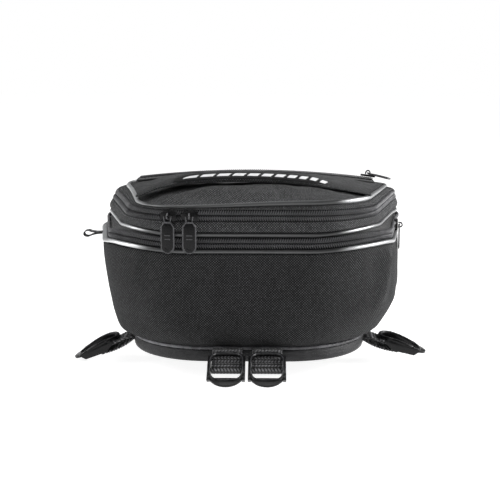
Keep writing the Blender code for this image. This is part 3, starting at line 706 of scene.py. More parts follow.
def stitches(name, path, normals, body):
    """A row of stitches that lie on a path of points, with the surface's normals."""
    lengths = running_length(path)
    grain_of = bmesh.new()
    bmesh.ops.create_icosphere(grain_of, subdivisions=1, radius=1)
    grain_of.verts.ensure_lookup_table()
    shape = np.array([v.co for v in grain_of.verts]) * (STITCH_LENGTH / 2, 0.32, 0.26)
    shape_faces = [[v.index for v in f.verts] for f in grain_of.faces]
    grain_of.free()
    vertices, faces = [], []
    for s in np.arange(STITCH_SPACING / 2, lengths[-1], STITCH_SPACING):
        spot = interpolate(s, lengths, path)
        along = interpolate(s + 0.5, lengths, path) - spot
        along /= max(np.linalg.norm(along), 1e-6)
        up = interpolate(s, lengths, normals)
        up -= along * (up @ along)
        up /= np.linalg.norm(up)
        axes = np.stack([along, np.cross(up, along), up])
        start = len(vertices)
        vertices += (spot + shape @ axes).tolist()
        faces += [[start + index for index in face] for face in shape_faces]
    mesh = bpy.data.meshes.new(name)
    mesh.from_pydata((np.array(vertices) * MM).tolist(), [], faces)
    mesh.shade_smooth()
    show(name, mesh, "thread", body)


def sewn_round(name, line, out, height, body, lean):
    """Stitches round an outline, on a surface that leans back by an angle in degrees."""
    path = settle(ring(line, out, height))
    flat = normals_of(line)
    lean = math.radians(lean)
    normals = np.column_stack([flat * math.cos(lean), np.full(len(flat), math.sin(lean))])
    stitches(name, np.vstack([path, path[:1]]), np.vstack([normals, normals[:1]]), body)


def coil(name, line, zip_z, side, closed, body, node):
    """One row of a coil zip: a wire wound along the outline, above or below the zip's line."""
    place, normal, total = along_line(line, closed)
    turns = int(total / COIL_PITCH)
    phase = np.arange(turns * COIL_POINTS + 1) / COIL_POINTS * 2 * math.pi
    lean = 0.35 * np.cos(phase) + 0.5 * np.sin(phase + 0.6)
    start = 0.25 if side > 0 else 0.75
    s = (phase / (2 * math.pi) + start) * (total - COIL_PITCH) / turns + lean
    radial_out, radial_up = np.cos(phase + 0.6), np.sin(phase + 0.6)
    base, out = place(s), normal(s)
    outs = base + out * (0.1 + WIRE_DEPTH * radial_out)[:, None]
    ups = zip_z + side * (2.4 + WIRE_REACH * radial_up)
    centre = np.column_stack([outs, ups])
    radial = unit(np.column_stack([out * radial_out[:, None], side * radial_up]))
    along = unit(np.gradient(centre, axis=0))
    rings = tube_rings(centre, WIRE_R, radial, np.cross(along, radial), WIRE_SIDES)
    sew(name, settled(rings), "coil", body, node, around=False)


def inflated(rings, pinned, pressure, cap, frames, slack):
    """Where rings end up when their sheet billows between its pinned points, moving up to a cap."""
    thing = bpy.data.objects.new("sheet", loft("sheet", rings, shut=False))
    bpy.context.collection.objects.link(thing)
    rest = np.array([v.co for v in thing.data.vertices])
    move = billow(thing, pinned, pressure, frames, slack) - rest
    bpy.data.objects.remove(thing)
    length = np.linalg.norm(move, axis=1)
    move *= (np.minimum(length, cap * MM) / np.maximum(length, 1e-9))[:, None]
    return (rest + move).astype(np.float32).astype(float).reshape(np.shape(rings)) / MM


def billow(thing, pinned, pressure, frames, slack):
    """Runs the cloth simulation of a sheet under pressure, and gives its last points in m."""
    group = thing.vertex_groups.new(name="seam")
    group.add([int(index) for index in pinned], 1.0, "REPLACE")
    cloth = thing.modifiers.new("cloth", "CLOTH")
    settings = cloth.settings
    settings.quality = 6
    settings.mass = 0.3
    settings.tension_stiffness = 25
    settings.compression_stiffness = 25
    settings.shear_stiffness = 10
    settings.bending_stiffness = 1.5
    settings.use_pressure = True
    settings.uniform_pressure_force = pressure
    settings.shrink_min = -slack
    settings.vertex_group_mass = "seam"
    settings.effector_weights.gravity = 0
    cloth.collision_settings.use_collision = False
    cloth.point_cache.frame_start = 1
    cloth.point_cache.frame_end = frames
    for step in range(1, frames + 1):
        bpy.context.scene.frame_set(step)
    graph = bpy.context.evaluated_depsgraph_get()
    points = np.array([v.co for v in thing.evaluated_get(graph).data.vertices])
    bpy.context.scene.frame_set(1)
    return points


# ---------------------------------------------------------------- lower bag


def shell_line(share):
    """The lower bag's outline, from its top (0) to its bottom (1). The left side tucks in evenly and
    the right side stays full until it folds under."""
    plain = (10 * share + 20 * share**7) / 30
    left = 0.52 * share**1.05 + 0.48 * share**32
    right = 0.05 * share + 0.62 * max(0, (share - 0.62) / 0.38) ** 1.15 + 0.33 * share**40
    sideways = normals_of(LOWER_LINE)[:, 0]
    to_left = smooth(-sideways, 0.3, 0.95)
    to_right = smooth(sideways, 0.3, 0.95)
    tuck = plain + (left - plain) * to_left + (right - plain) * to_right
    return LOWER_LINE + (BASE_LINE - LOWER_LINE) * tuck[:, None]


def shell_rings(node, out, steps, bulge=0.0):
    """Rings of a wall of the lower bag, from its node's top to its bottom."""
    low, high = bottom(node), top(node)
    rings = []
    for step in range(steps + 1):
        share = step / steps
        puff = bulge * math.sin(math.pi * min(1, share * 1.02)) ** 0.8
        rings.append(ring(shell_line(share), out + puff, high + (low - high) * share))
    return rings


def crease(points):
    """A soft fold down the bag's front right corner, where its front turns to its side."""
    x, y, z = points.T
    past = np.degrees(np.arctan2(y + 20, x)) + 22 + (96 - z) * 0.14
    hollow = 0.8 * np.exp(-(((past - 12) / 7) ** 2))
    ridge = np.exp(-np.abs(past / CREASE_WIDTH) ** 1.4) - hollow
    return CREASE_HEIGHT * ridge * smooth(z, 34, 62) * smooth(-z, -97, -84) * (x > 60)


def make_shell():
    """The lower bag's wall, puckered along its seams and blown out between them."""
    rest = np.array(shell_rings("main_shell", 0.0, SHELL_STEPS, SHELL_BULGE))
    for row, points in enumerate(rest):
        share = row / SHELL_STEPS
        free = math.sin(math.pi * share) ** 0.5
        near_seam = math.exp(-share * 9) + math.exp(-(1 - share) * 9)
        puckers = [noise.noise(Vector((p[0] / 16, p[1] / 16, p[2] / 70))) for p in points]
        lift = np.array(puckers) * (0.5 + 0.9 * near_seam) * free
        rest[row] += outward(points) * (lift + crease(points))[:, None]
        rest[row][:, 2] += corner_rise(points)
    stations = len(LOWER_LINE)
    seams = np.concatenate([np.arange(stations), np.arange(stations) + SHELL_STEPS * stations])
    blown = inflated(rest, seams, pressure=0.6, cap=3.0, frames=12, slack=0.004)
    inner = shell_rings("main_shell", -FABRIC, 8, 0.6)
    sew("main_shell_fabric", list(blown) + inner[::-1], "fabric", "lower_bag", "main_shell")


def outward(points):
    """The horizontal directions out of a ring of points."""
    return np.column_stack([normals_of(points[:, :2]), np.zeros(len(points))])


def make_lower_linings():
    for node, out, thickness, look in (
        ("wall_foam", FOAM_OUT, FOAM_THICK, "foam"),
        ("wall_lining", LINING_OUT, LINING_THICK, "lining"),
    ):
        rings = shell_rings(node, out, 14) + shell_rings(node, out - thickness, 14)[::-1]
        sew(f"{node}_sheet", rings, look, "lower_bag", node)
    floor_line = BASE_LINE - normals_of(BASE_LINE) * 7
    shares = (0, 0.35, 0.7, 1)
    rings = shrunk(floor_line, 0, bottom("floor_lining"), shares)
    rings += shrunk(floor_line, 0, top("floor_lining"), shares[::-1])
    sew("floor_lining_sheet", rings, "lining", "lower_bag", "floor_lining", flat_uv=True, weld=True)


def shrunk(line, out, height, shares):
    """Rings at one height, each a share of the outline's size."""
    return [ring(line, out, height) * (share, share, 1) for share in shares]


def make_base():
    """The coated tray under the bag, with its skirt, and the piping above it."""
    lip = top("base_panel")
    levels = [(0.0, lip), (0.5, lip - 1.6), (0.7, 6), (0.4, 3), (-0.2, 1.3), (-1.3, 0.25), (-2.5, 0)]
    rings = []
    for out, height in levels:
        points = ring(BASE_LINE, out, height)
        points[:, :2] += wander(points, 22, 0.5 * smooth(height, 0, 4), 3)[:, :2]
        rings.append(points)
    rings += shrunk(BASE_LINE, -2.5, 0, (0.8, 0.4, 0))
    rings += shrunk(BASE_LINE, -3.4, FABRIC, (0, 0.5, 1))
    rings += [ring(BASE_LINE, -FABRIC - 0.3, height) for height in (3.4, lip)]
    sew("base_tray", rings, "vinyl", "lower_bag", "base_panel", weld=True)
    cord("base", BASE_LINE, -0.1, "dark_piping", "lower_bag")
    board = frame["nodes"]["base_stiffener"].data.materials
    board.clear()
    board.append(LOOKS["board"])


def expansion_zip_z():
    return (top("expansion_lower_tape") + bottom("expansion_upper_tape")) / 2


def make_lower_zip():
    """The lower bag's top seam and its half of the expansion zip."""
    cord("lower", LOWER_LINE, 0, "reflective", "lower_bag")
    node = "expansion_lower_tape"
    rings = settled(puffed(EXPANSION_LINE, bottom(node), top(node), 0.3, TAPE_THICK, 6))
    rings = [r + outward(r) * TAPE_OUT for r in rings]
    sew(f"{node}_cloth", rings, "tape", "lower_bag", node)
    zip_z = expansion_zip_z()
    coil("expansion_lower_wire", EXPANSION_LINE, zip_z, -1, True, "lower_bag", "expansion_lower_coil")


def make_side_loop():
    """A folded ribbon on the left, sewn in under the lower piping."""
    low, high = (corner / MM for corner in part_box("side_loop"))
    root, tip = high.x + 2.6, low.x
    y, z = (low.y + high.y) / 2, (low.z + high.z) / 2
    eye = (high.z - low.z) / 2 - 0.5
    shares = np.linspace(0, 1, 12)
    leg = [(root + (tip + 5 - root) * share, 0.55 + (eye - 0.55) * share**3) for share in shares]
    turn = [(tip + 4 - 3.6 * math.cos(a), eye * math.sin(a)) for a in np.radians(np.linspace(80, -80, 14))]
    path = np.array(leg + turn + [(a, -b) for a, b in reversed(leg)])
    path[:, 1] += z + 0.06 * (path[:, 0] - root)

    def lay(along, across, up):
        return along, y + across, up

    mesh = ribbon_mesh("side_loop_ribbon", path, 0.9, 9.0, lay)
    show("side_loop_ribbon", mesh, "webbing", "lower_bag", ["side_loop"])


def ribbon_mesh(name, path, thickness, width, lay):
    """A strap along a path in side view. Lay turns (along, across, up) into a point."""
    along = unit(np.gradient(path, axis=0))
    normal = np.stack([-along[:, 1], along[:, 0]], axis=1)
    half, half_thick, round_by = width / 2, thickness / 2, thickness * 0.35
    face = [(share * (half - round_by), half_thick) for share in np.linspace(-1, 1, 9)]
    face += [(half, half_thick - round_by), (half, round_by - half_thick)]
    section = face + [(-across, -up) for across, up in face]
    rings = []
    for across, up in section:
        spots = path + normal * up
        rings.append([lay(a, across, b) for a, b in spots])
    return loft(name, rings, around=False)


# ---------------------------------------------------------------- upper tier


def make_upper_tier():
    """The tier between the two zips, with its half of each."""
    zip_z = expansion_zip_z()
    shelf = top("expansion_upper_coil") + 0.2
    levels = [
        (EXPANSION_LINE, TAPE_OUT, zip_z + 0.4),
        (EXPANSION_LINE, TAPE_OUT, zip_z + 3),
        (EXPANSION_LINE, TAPE_OUT - 0.8, shelf - 0.8),
        (EXPANSION_LINE, TAPE_OUT - 2.6, shelf + 0.3),
        (EXPANSION_LINE * 0.75 + UPPER_LINE * 0.25, TAPE_OUT - 2.2, shelf + 0.9),
        (EXPANSION_LINE * 0.3 + UPPER_LINE * 0.7, TAPE_OUT - 0.8, shelf + 1.3),
        (UPPER_LINE, TAPE_OUT - 0.6, shelf + 1.6),
        (UPPER_LINE, TAPE_OUT - 0.6, bottom("upper_band") - 0.3),
    ]
    rings = settled(sheet_rings(levels, TAPE_THICK))
    sew("expansion_upper_tape_cloth", rings, "tape", "upper_tier", "expansion_upper_tape")
    coil("expansion_upper_wire", EXPANSION_LINE, zip_z, 1, True, "upper_tier", "expansion_upper_coil")
    cord("middle", UPPER_LINE, 0, "reflective", "upper_tier")
    low, high = bottom("upper_band"), top("upper_band")
    rings = settled(puffed(UPPER_LINE, low, high, 1.9, FABRIC, 12))
    sew("upper_band_cloth", rings, "band_fabric", "upper_tier", "upper_band")
    sewn_round("upper_band_stitches", UPPER_LINE, 1.1, high - 1.1, "upper_tier", 25)
    make_main_zip_half("lower", -1, "upper_tier")
    make_hinge_strip()
    make_gusset()


def make_main_zip_half(word, side, body):
    """Tape and wire of one half of the main zip, along the left, the front and the right."""
    node = f"main_{word}_tape"
    low, high = bottom(node), top(node)
    levels = [(UPPER_LINE, TAPE_OUT, low + (high - low) * share) for share in (0, 0.3, 0.7, 1)]
    rings = settled(r[ZIP_SPAN] for r in sheet_rings(levels, TAPE_THICK))
    sew(f"{node}_cloth", rings, "tape", body, node, around=False)
    zip_z = (top("main_lower_tape") + bottom("main_upper_tape")) / 2
    coil(f"main_{word}_wire", UPPER_LINE[ZIP_SPAN], zip_z, side, False, body, f"main_{word}_coil")


def make_hinge_strip():
    """The fabric across the rear that the lid turns on."""
    low, high = bottom("lid_hinge_strip"), bottom("lid_band")
    last = len(UPPER_LINE) - ZIP_FIRST
    rings = settled(puffed(UPPER_LINE, low, high + 0.9, 1.0, 1.2, 10))
    rings = [np.vstack([r[last + 1 :], r[:ZIP_FIRST]]) for r in rings]
    strip = sew("lid_hinge_cloth", rings, "band_fabric", None, "lid_hinge_strip", around=False)
    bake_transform(strip)


def metres(*values):
    return tuple(value * MM for value in values)


def make_gusset():
    """The pleat behind the expansion zip, folded up while the zip is closed."""
    low, high = bottom("expansion_gusset"), top("expansion_gusset")
    levels = []
    for share in np.linspace(0, 1, 25):
        wave = math.cos(2 * math.pi * GUSSET_FOLDS * share) * math.sin(math.pi * share) ** 0.5
        levels.append((UPPER_LINE, -5.6 - GUSSET_DEPTH * wave, low + (high - low) * share))
    cloth = sew("expansion_gusset_cloth", sheet_rings(levels, 0.5), "lining", None, "expansion_gusset")
    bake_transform(cloth)


# ---------------------------------------------------------------- lid


def lid_height(share, x, y):
    """Height of the lid's outer face, from its middle (0) to its rim (1), fuller in front."""
    rim = top("lid_band") + 2.3
    dome = LID_CREST * (1 - np.abs(share) ** 3.4) * (1 - 0.35 * (x / 120) ** 2)
    pillow = np.exp(-(((x + 18) / 62) ** 2) - ((y + 77) / 16) ** 2) * (1 - np.abs(share) ** 12)
    creases = sum(height * ridge_along(x, y, start, end, width) for start, end, width, height in LID_FOLDS)
    return rim + dome + LID_PILLOW * pillow + creases * (1 - np.abs(share) ** 16)


def ridge_along(x, y, start, end, width):
    """A soft ridge over the line between two points, fading towards its ends."""
    start, end = np.array(start, float), np.array(end, float)
    line = end - start
    share = ((x - start[0]) * line[0] + (y - start[1]) * line[1]) / (line @ line)
    near = np.clip(share, 0, 1)
    away = np.hypot(x - start[0] - near * line[0], y - start[1] - near * line[1])
    return np.exp(-((away / width) ** 2)) * (0.35 + 0.65 * np.sin(math.pi * near))


def dome_rings(inset, drop, shares):
    """Rings of the lid's face from its rim inwards, drop below the outer face."""
    rim = LID_LINE - normals_of(LID_LINE) * inset
    rings = []
    for share in shares:
        x, y = rim.T * share
        rings.append(np.column_stack([x, y, lid_height(share, x, y) - drop]))
    return settled(rings)


def make_lid():
    low, high = bottom("lid_band"), top("lid_band") + 0.6
    at_corner = smooth(np.abs(LID_LINE[:, 0]), 62, 92)
    levels = []
    for step in range(BAND_STEPS + 1):
        share = step / BAND_STEPS
        line = UPPER_LINE + (LID_LINE - UPPER_LINE) * share
        ribs = 0.4 * math.sin(6 * math.pi * share) * at_corner
        levels.append((line, ribs + 1.3 * math.sin(math.pi * share) ** 0.8, low + (high - low) * share))
    sew("lid_band_cloth", settled(sheet_rings(levels, FABRIC)), "band_fabric", "lid", "lid_band")
    cord("lid", LID_LINE, -0.2, "reflective", "lid")
    make_main_zip_half("upper", 1, "lid")
    make_lid_panel()
    shares = (0, 0.3, 0.55, 0.75, 0.88, 0.95, 1)
    for node, inset, drop, thickness, look in (
        ("lid_foam", 6, 2.0, 3.6, "foam"),
        ("lid_lining", 5, 6.6, 0.8, "lining"),
    ):
        rings = dome_rings(inset, drop + thickness, shares) + dome_rings(inset, drop, shares)[::-1]
        sew(f"{node}_sheet", rings, look, "lid", node, flat_uv=True, weld=True)


def make_lid_panel():
    """The padded lid, billowed between its rim and the sewn ends of the handle."""
    shares = 1 - np.linspace(0, 1, 40) ** 1.3 * 0.97
    rest = np.array(dome_rings(1.5, 0, shares))
    spots = rest.reshape(-1, 3)
    around = rest.shape[1]
    spots[:, 2] += wander(spots, 26, 0.9, 8)[:, 2] * (1 - np.repeat(shares, around) ** 10)
    under_handle = (np.abs(np.abs(spots[:, 0]) - 97) < 9) & (np.abs(spots[:, 1] + 52) < 19)
    pinned = np.union1d(np.arange(around), np.nonzero(under_handle)[0])
    blown = inflated(rest, pinned, pressure=0.8, cap=2.5, frames=14, slack=0.006)
    centre = np.tile(blown[-1].mean(axis=0), (around, 1))
    under = dome_rings(1.9, 1.4, np.append(shares[::4], 0))
    rings = list(blown) + [centre] + under[::-1]
    sew("lid_panel_cloth", rings, "lid_fabric", "lid", "lid_panel", flat_uv=True, weld=True)


def pocket_z(x):
    return POCKET_CREST - POCKET_RADIUS + np.sqrt(POCKET_RADIUS**2 - x * x)


def make_pocket_zip():
    """A coil zip laid across the rear of the lid, on the arc that its slider follows."""
    x = np.linspace(POCKET_LEFT, POCKET_RIGHT, 90)

    def line(away, rise):
        return np.column_stack([x, np.full_like(x, POCKET_Y + away), pocket_z(x) + rise])

    profile = [(0.2, 0.0), (13, -0.6), (13.4, 0.0), (13, 0.5), (6, 0.8), (0.2, 0.8)]
    for word, side in (("front", -1), ("rear", 1)):
        rings = [line(side * away, rise) for away, rise in profile]
        sew(f"pocket_{word}_tape_cloth", rings, "tape", "lid", f"pocket_{word}_tape", around=False)
        pocket_coil(word, side)
        upwards = np.tile((0.0, 0, 1), (len(x), 1))
        stitches(f"pocket_{word}_stitches", line(side * 11.5, 0.75), upwards, "lid")


def pocket_coil(word, side):
    turns = int((POCKET_RIGHT - POCKET_LEFT - 4) / COIL_PITCH)
    phase = np.arange(turns * COIL_POINTS + 1) / COIL_POINTS * 2 * math.pi
    start = 0.0 if side > 0 else 0.5
    x = POCKET_LEFT + 2 + (phase / (2 * math.pi) + start) * COIL_PITCH + 0.45 * np.cos(phase)
    across, up = np.cos(phase + 2.2), np.sin(phase + 2.2)
    centre = np.column_stack([x, POCKET_Y + side * (1.9 + 1.5 * across), pocket_z(x) + 2.0 + 0.75 * up])
    radial = np.column_stack([0 * x, side * across, up])
    along = unit(np.gradient(centre, axis=0))
    rings = tube_rings(centre, 0.4, radial, np.cross(along, radial), WIRE_SIDES)
    sew(f"pocket_{word}_wire", rings, "coil", "lid", f"pocket_{word}_coil", around=False)


# ---------------------------------------------------------------- carry handle


def handle_z(x):
    """Underside of the handle band, fuller on the left, where the lid lies lower."""
    share = np.clip(x / HANDLE_END_X, -1, 1)
    rise = HANDLE_RISE * (1 - np.abs(share) ** 2.2) * (1 - 0.1 * share)
    return bottom("handle_end_left") + rise


def handle_section(thickness, front, rear):
    """The band's section, front edge first: a domed top and a flat underside."""
    section = []
    for angle in np.linspace(0, math.pi, 19):
        across = -math.cos(angle)
        y = (front + rear) / 2 + (rear - front) / 2 * np.sign(across) * abs(across) ** 0.75
        section.append((y, 0.4 + thickness * max(math.sin(angle), 0) ** 0.8))
    return section + [(rear - 1.5, 0.0), ((front + rear) / 2, 0.2), (front + 1.5, 0.0)]


def handle_rings(stations, thickness, front, rear, lift=0.0):
    """Rings along the handle, with a thickness at each station."""
    sections = np.array([handle_section(t, front, rear) for t in thickness])
    underside = handle_z(stations)
    return [np.column_stack([stations, y, underside + z + lift]) for y, z in sections.transpose(1, 2, 0)]


def grip_taper(x):
    return 1 - 0.55 * smooth(np.abs(x), GRIP_HALF - 22, GRIP_HALF)


def make_handle():
    """Padded grip, its two sewn ends, a woven label and a plain striped print on it."""
    x = np.linspace(-GRIP_HALF, GRIP_HALF, 90)
    rings = np.array(handle_rings(x, GRIP_THICK * grip_taper(x), HANDLE_FRONT, HANDLE_REAR))
    ripple = wander(rings.reshape(-1, 3), 24, 0.5, 5).reshape(rings.shape)
    rings[:18] += ripple[:18]
    sew("handle_grip_pad", rings, "handle_fabric", "handle", "handle_grip", around=False)
    make_tail("left", -1, HANDLE_END_X - LEFT_LEAN)
    make_tail("right", 1, HANDLE_END_X)
    make_label()
    x = np.linspace(-GRIP_HALF + 4, GRIP_HALF - 4, 60)
    for word, edge, tilt in (("front", HANDLE_FRONT + 1.2, -0.8), ("rear", HANDLE_REAR - 1.6, 0.8)):
        y = np.full_like(x, edge)
        path = np.column_stack([x, y, handle_z(x) + band_lift(x, y)])
        stitches(f"handle_{word}_stitches", path, np.tile((0.0, tilt, 0.6), (60, 1)), "handle")


def make_tail(word, side, tip):
    """A thin end of the handle, sewn down at its tip."""
    x = np.linspace(side * (GRIP_HALF - 1.5), side * tip, 24)
    thickness = 2.9 - 1.4 * smooth(np.abs(x), GRIP_HALF, HANDLE_END_X)
    sunk = smooth(np.abs(x), GRIP_HALF, tip) * (side * LID_TILT * 0.85 - 0.9)
    rings = handle_rings(x, thickness, HANDLE_FRONT + 1, HANDLE_REAR - 1, sunk)
    node = f"handle_end_{word}"
    tail = sew(f"handle_tail_{word}", rings, "handle_fabric", None, node, around=False)
    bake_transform(tail)


def band_lift(x, y):
    """Height of the grip's top over the handle's underside."""
    half = (HANDLE_REAR - HANDLE_FRONT) / 2
    across = np.clip(np.abs((y - HANDLE_MIDDLE) / half), 0, 1) ** (1 / 0.75)
    return 0.4 + GRIP_THICK * grip_taper(x) * np.sqrt(1 - across**2) ** 0.8


def label_rings(x, front, rear, low, high, steps):
    """A thin plate on the grip's front slope between two lines, each given as y at each x."""
    rings = []
    for height, shares in ((high, np.linspace(0, 1, steps)), (low, np.linspace(1, 0, steps))):
        for share in shares:
            y = front + (rear - front) * share
            rings.append(np.column_stack([x, y, handle_z(x) + band_lift(x, y) + height]))
    return rings


def make_label():
    """A dark label with a row of slanted bars that get shorter to the right."""
    x = np.linspace(-PATCH_HALF, PATCH_HALF, 70)
    ends = smooth(np.abs(x), PATCH_HALF - 6, PATCH_HALF)
    front = -71.3 + 1.5 * ends
    rear = -58.0 - 3.0 * (x / PATCH_HALF) ** 2 - 1.5 * ends
    mesh = loft("handle_label", label_rings(x, front, rear, 0.1, 0.7, 12), around=False)
    show("handle_label", mesh, "label", "handle", ["handle_patch"], sharp=50)
    edge = PRINT_START
    for bar in range(PRINT_BARS):
        width = 11.5 - 0.7 * bar
        x = np.linspace(edge, edge + width, 8)
        front, rear = np.full_like(x, -69.3), np.full_like(x, -64.8)
        rings = label_rings(x, front, rear, 0.6, 0.95, 5)
        rings = [r + np.array((PRINT_SLANT * (r[0, 1] + 69.6) / 5.2, 0, 0)) for r in rings]
        mesh = loft(f"handle_print_{bar + 1}", rings, around=False)
        show(f"handle_print_{bar + 1}", mesh, "print", "handle", sharp=50)
        edge += width + PRINT_GAP


# ---------------------------------------------------------------- sliders and pulls


def bar_mesh(path, radius, sides=8):
    """A round bar along a path of points."""
    path = np.array(path, float)
    along = unit(np.gradient(path, axis=0))
    side = unit(np.cross(along, (0.13, 0.21, 0.97)))
    return loft("bar", tube_rings(path, radius, side, np.cross(along, side), sides), around=False)


def flat(a, b, c):
    return a, b, c


def upright(a, b, c):
    return a, c, b


def slab_mesh(outline_points, low, high, lay=upright):
    """A plate with a given outline, laid in space by a function of (a, b, height)."""
    mesh = bpy.data.meshes.new("slab")
    count = len(outline_points)
    vertices = [lay(a, b, c) for c in (low, high) for a, b in outline_points]
    faces = [list(range(count)), list(range(count, 2 * count))]
    for i in range(count):
        j = (i + 1) % count
        faces.append([i, j, count + j, count + i])
    mesh.from_pydata([Vector(v) * MM for v in vertices], [], faces)
    mesh.uv_layers.new(name="Cloth")
    face_outwards(mesh)
    return mesh


def highlight_colour(mesh):
    """Gives a mesh the second of its piece's two materials, a lighter black that is a painted highlight."""
    mesh.polygons.foreach_set("material_index", [1] * len(mesh.polygons))
    return mesh


def joined(name, meshes, bevel, look, matrix, body, node):
    """One piece from several closed meshes, with its edges rounded."""
    whole = bmesh.new()
    for mesh in meshes:
        whole.from_mesh(mesh)
    mesh = bpy.data.meshes.new(name)
    whole.to_mesh(mesh)
    whole.free()
    part = bpy.data.objects.new("part", mesh)
    bpy.context.collection.objects.link(part)
    soften = part.modifiers.new("bevel", "BEVEL")
    soften.width = bevel * MM
    soften.segments = 2
    soften.limit_method = "ANGLE"
    soften.angle_limit = math.radians(35)
    soften.harden_normals = False
    graph = bpy.context.evaluated_depsgraph_get()
    mesh = bpy.data.meshes.new_from_object(part.evaluated_get(graph))
    bpy.data.objects.remove(part)
    mesh.name = name
    mesh.transform(matrix)
    mesh.shade_smooth()
    show(name, mesh, look, body, [node], sharp=40)
    # The second material: a painted highlight on rims and bars.
    mesh.materials.append(LOOKS["painted_highlight_edge"])


def arc(centre, radius, start, end, steps):
    angles = np.radians(np.linspace(start, end, steps))
    return [(centre[0] + radius * math.cos(a), centre[1] + radius * math.sin(a)) for a in angles]


def slider_parts(stands):
    """A slider in its own frame: x along the zip, -y outwards, z across the rows. One that stands
    on a zip round the bag has its crown across, a web between the rows and a plate behind them."""
    half, outside = SLIDER_HALF, SLIDER_OUT + SLIDER_PLATE
    plan = arc((half - 1.2, 2.7), 1.6, 0, 80, 4) + arc((-half + 1, 1.7), 1.0, 100, 180, 4)
    plan += [(a, -b) for a, b in reversed(plan)]
    crown = [(-CROWN_R, 0.9)]
    crown += [(-a, -1.25 * b) for a, b in arc((0, 0), CROWN_R, 0, 180, 11)]
    crown += [(CROWN_R, 0.9)]
    path = [(0, b, a) if stands else (a, b, 0.01 * a) for a, b in crown]
    # The crown bar is in the lighter black, a painted highlight.
    parts = [slab_mesh(plan, SLIDER_OUT, outside), highlight_colour(bar_mesh(path, CROWN_BAR_R))]
    if not stands:
        return parts
    back = outside + SLIDER_BACK + 0.4
    web = [(-4, outside - 0.4), (4, outside - 0.4), (4, back + 0.3), (-4, back + 0.3)]
    parts.append(slab_mesh(web, -0.15, 0.15, flat))
    parts.append(slab_mesh([(-5, -3.6), (5, -3.6), (5, 0.1), (-5, 0.1)], back, back + 0.9))
    for sign in (-1, 1):
        cheek = [(-4.6, sign * 4.4), (5.4, sign * 5.0), (5.4, sign * 4.1), (-4.6, sign * 3.3)]
        parts.append(slab_mesh(cheek, SLIDER_OUT + 0.3, SLIDER_OUT + 3.4))
    return parts


def pull_parts(length):
    """A pull that hangs along -z from its rung at the origin: a bail, a tab and the tab's rim."""
    half, low = PULL_HALF, 5.0 - length
    bail = [(-2.9, 0, 0), (-2.9, 0, -1.5), (-2.3, 0, -5.6), (2.3, 0, -5.6), (2.9, 0, -1.5), (2.9, 0, 0)]
    end = arc((0, low + 0.4), half, 180, 360, 13)
    tab = [(-2.6, -5.0), (-half, -9.0)] + end + [(half, -9.0), (2.6, -5.0)]
    rim = [(a * 0.985, 0, b) for a, b in tab + tab[:1]]
    foot = [(a, -0.35, b) for a, b in arc((0, low + 0.2), 2.6, 200, 340, 9)]
    # The tab's rim, the bail and the two ridges are in the lighter black, a painted highlight.
    parts = [
        slab_mesh(tab, -0.45, 0.45),
        highlight_colour(bar_mesh(rim, 0.75)),
        highlight_colour(bar_mesh(bail, RUNG_R)),
        bar_mesh([(-3.3, 0, 0), (0, 0, 0), (3.3, 0, 0)], RUNG_R),
    ]
    for level in (0.52, 0.62):
        z = -length * level
        ridge = [(-2.6, z - 0.45), (2.6, z - 0.45), (2.6, z + 0.45), (-2.6, z + 0.45)]
        parts.append(highlight_colour(slab_mesh(ridge, -0.75, 0.75)))
    return parts + [bar_mesh(foot, 0.45, 6)]


def joint(name):
    return next(j for j in frame["joints"] if j["name"] == name)


def make_sliders():
    """Every slider stands on its pull's joint axis, which is also its rung."""
    for word, swing, slider_body, pull_body, length in (
        ("main_{}_left", "left_pull_swing", "left_slider", "left_pull", PULL_LENGTH),
        ("main_{}_right", "right_pull_swing", "right_slider", "right_pull", PULL_LENGTH),
        ("expansion_{}", "expansion_pull_swing", "expansion_runner", "expansion_tab", SHORT_PULL_LENGTH),
        ("pocket_{}", "pocket_pull_swing", "pocket_runner", "pocket_tab", SHORT_PULL_LENGTH),
    ):
        stands = pull_body != "pocket_tab"
        spot = Matrix.Translation(joint(swing)["pos_m"])
        turns = upright_axes(swing) if stands else pocket_axes(swing)
        placed = [spot @ turn.to_4x4() for turn in turns]
        slider, pull = word.format("slider"), word.format("pull")
        joined(f"{slider}_body", slider_parts(stands), 0.3, "metal", placed[0], slider_body, slider)
        joined(f"{pull}_tab", pull_parts(length), 0.22, "metal", placed[1], pull_body, pull)


def upright_axes(swing):
    """Axes of a slider and of its pull, on a zip that runs round the bag."""
    up = Vector((0, 0, 1))
    along = -Vector(joint(swing)["axis"]).normalized()
    turn = Matrix((along, up.cross(along), up)).transposed()
    return turn, turn


def pocket_axes(swing):
    """The pocket slider leans with its arc, and its pull droops over the lid's edge."""
    lean = math.asin(joint(swing)["pos_m"][0] / MM / POCKET_RADIUS)
    level = Matrix.Rotation(lean, 3, "Y") @ Matrix.Rotation(-math.pi / 2, 3, "X")
    droop = math.radians(POCKET_PULL_DROOP)
    down_tab = Vector((math.cos(droop), 0, -math.sin(droop)))
    rung = Vector((0, 1, 0))
    return level, Matrix((rung, rung.cross(down_tab), -down_tab)).transposed()


# ---------------------------------------------------------------- straps and buckles


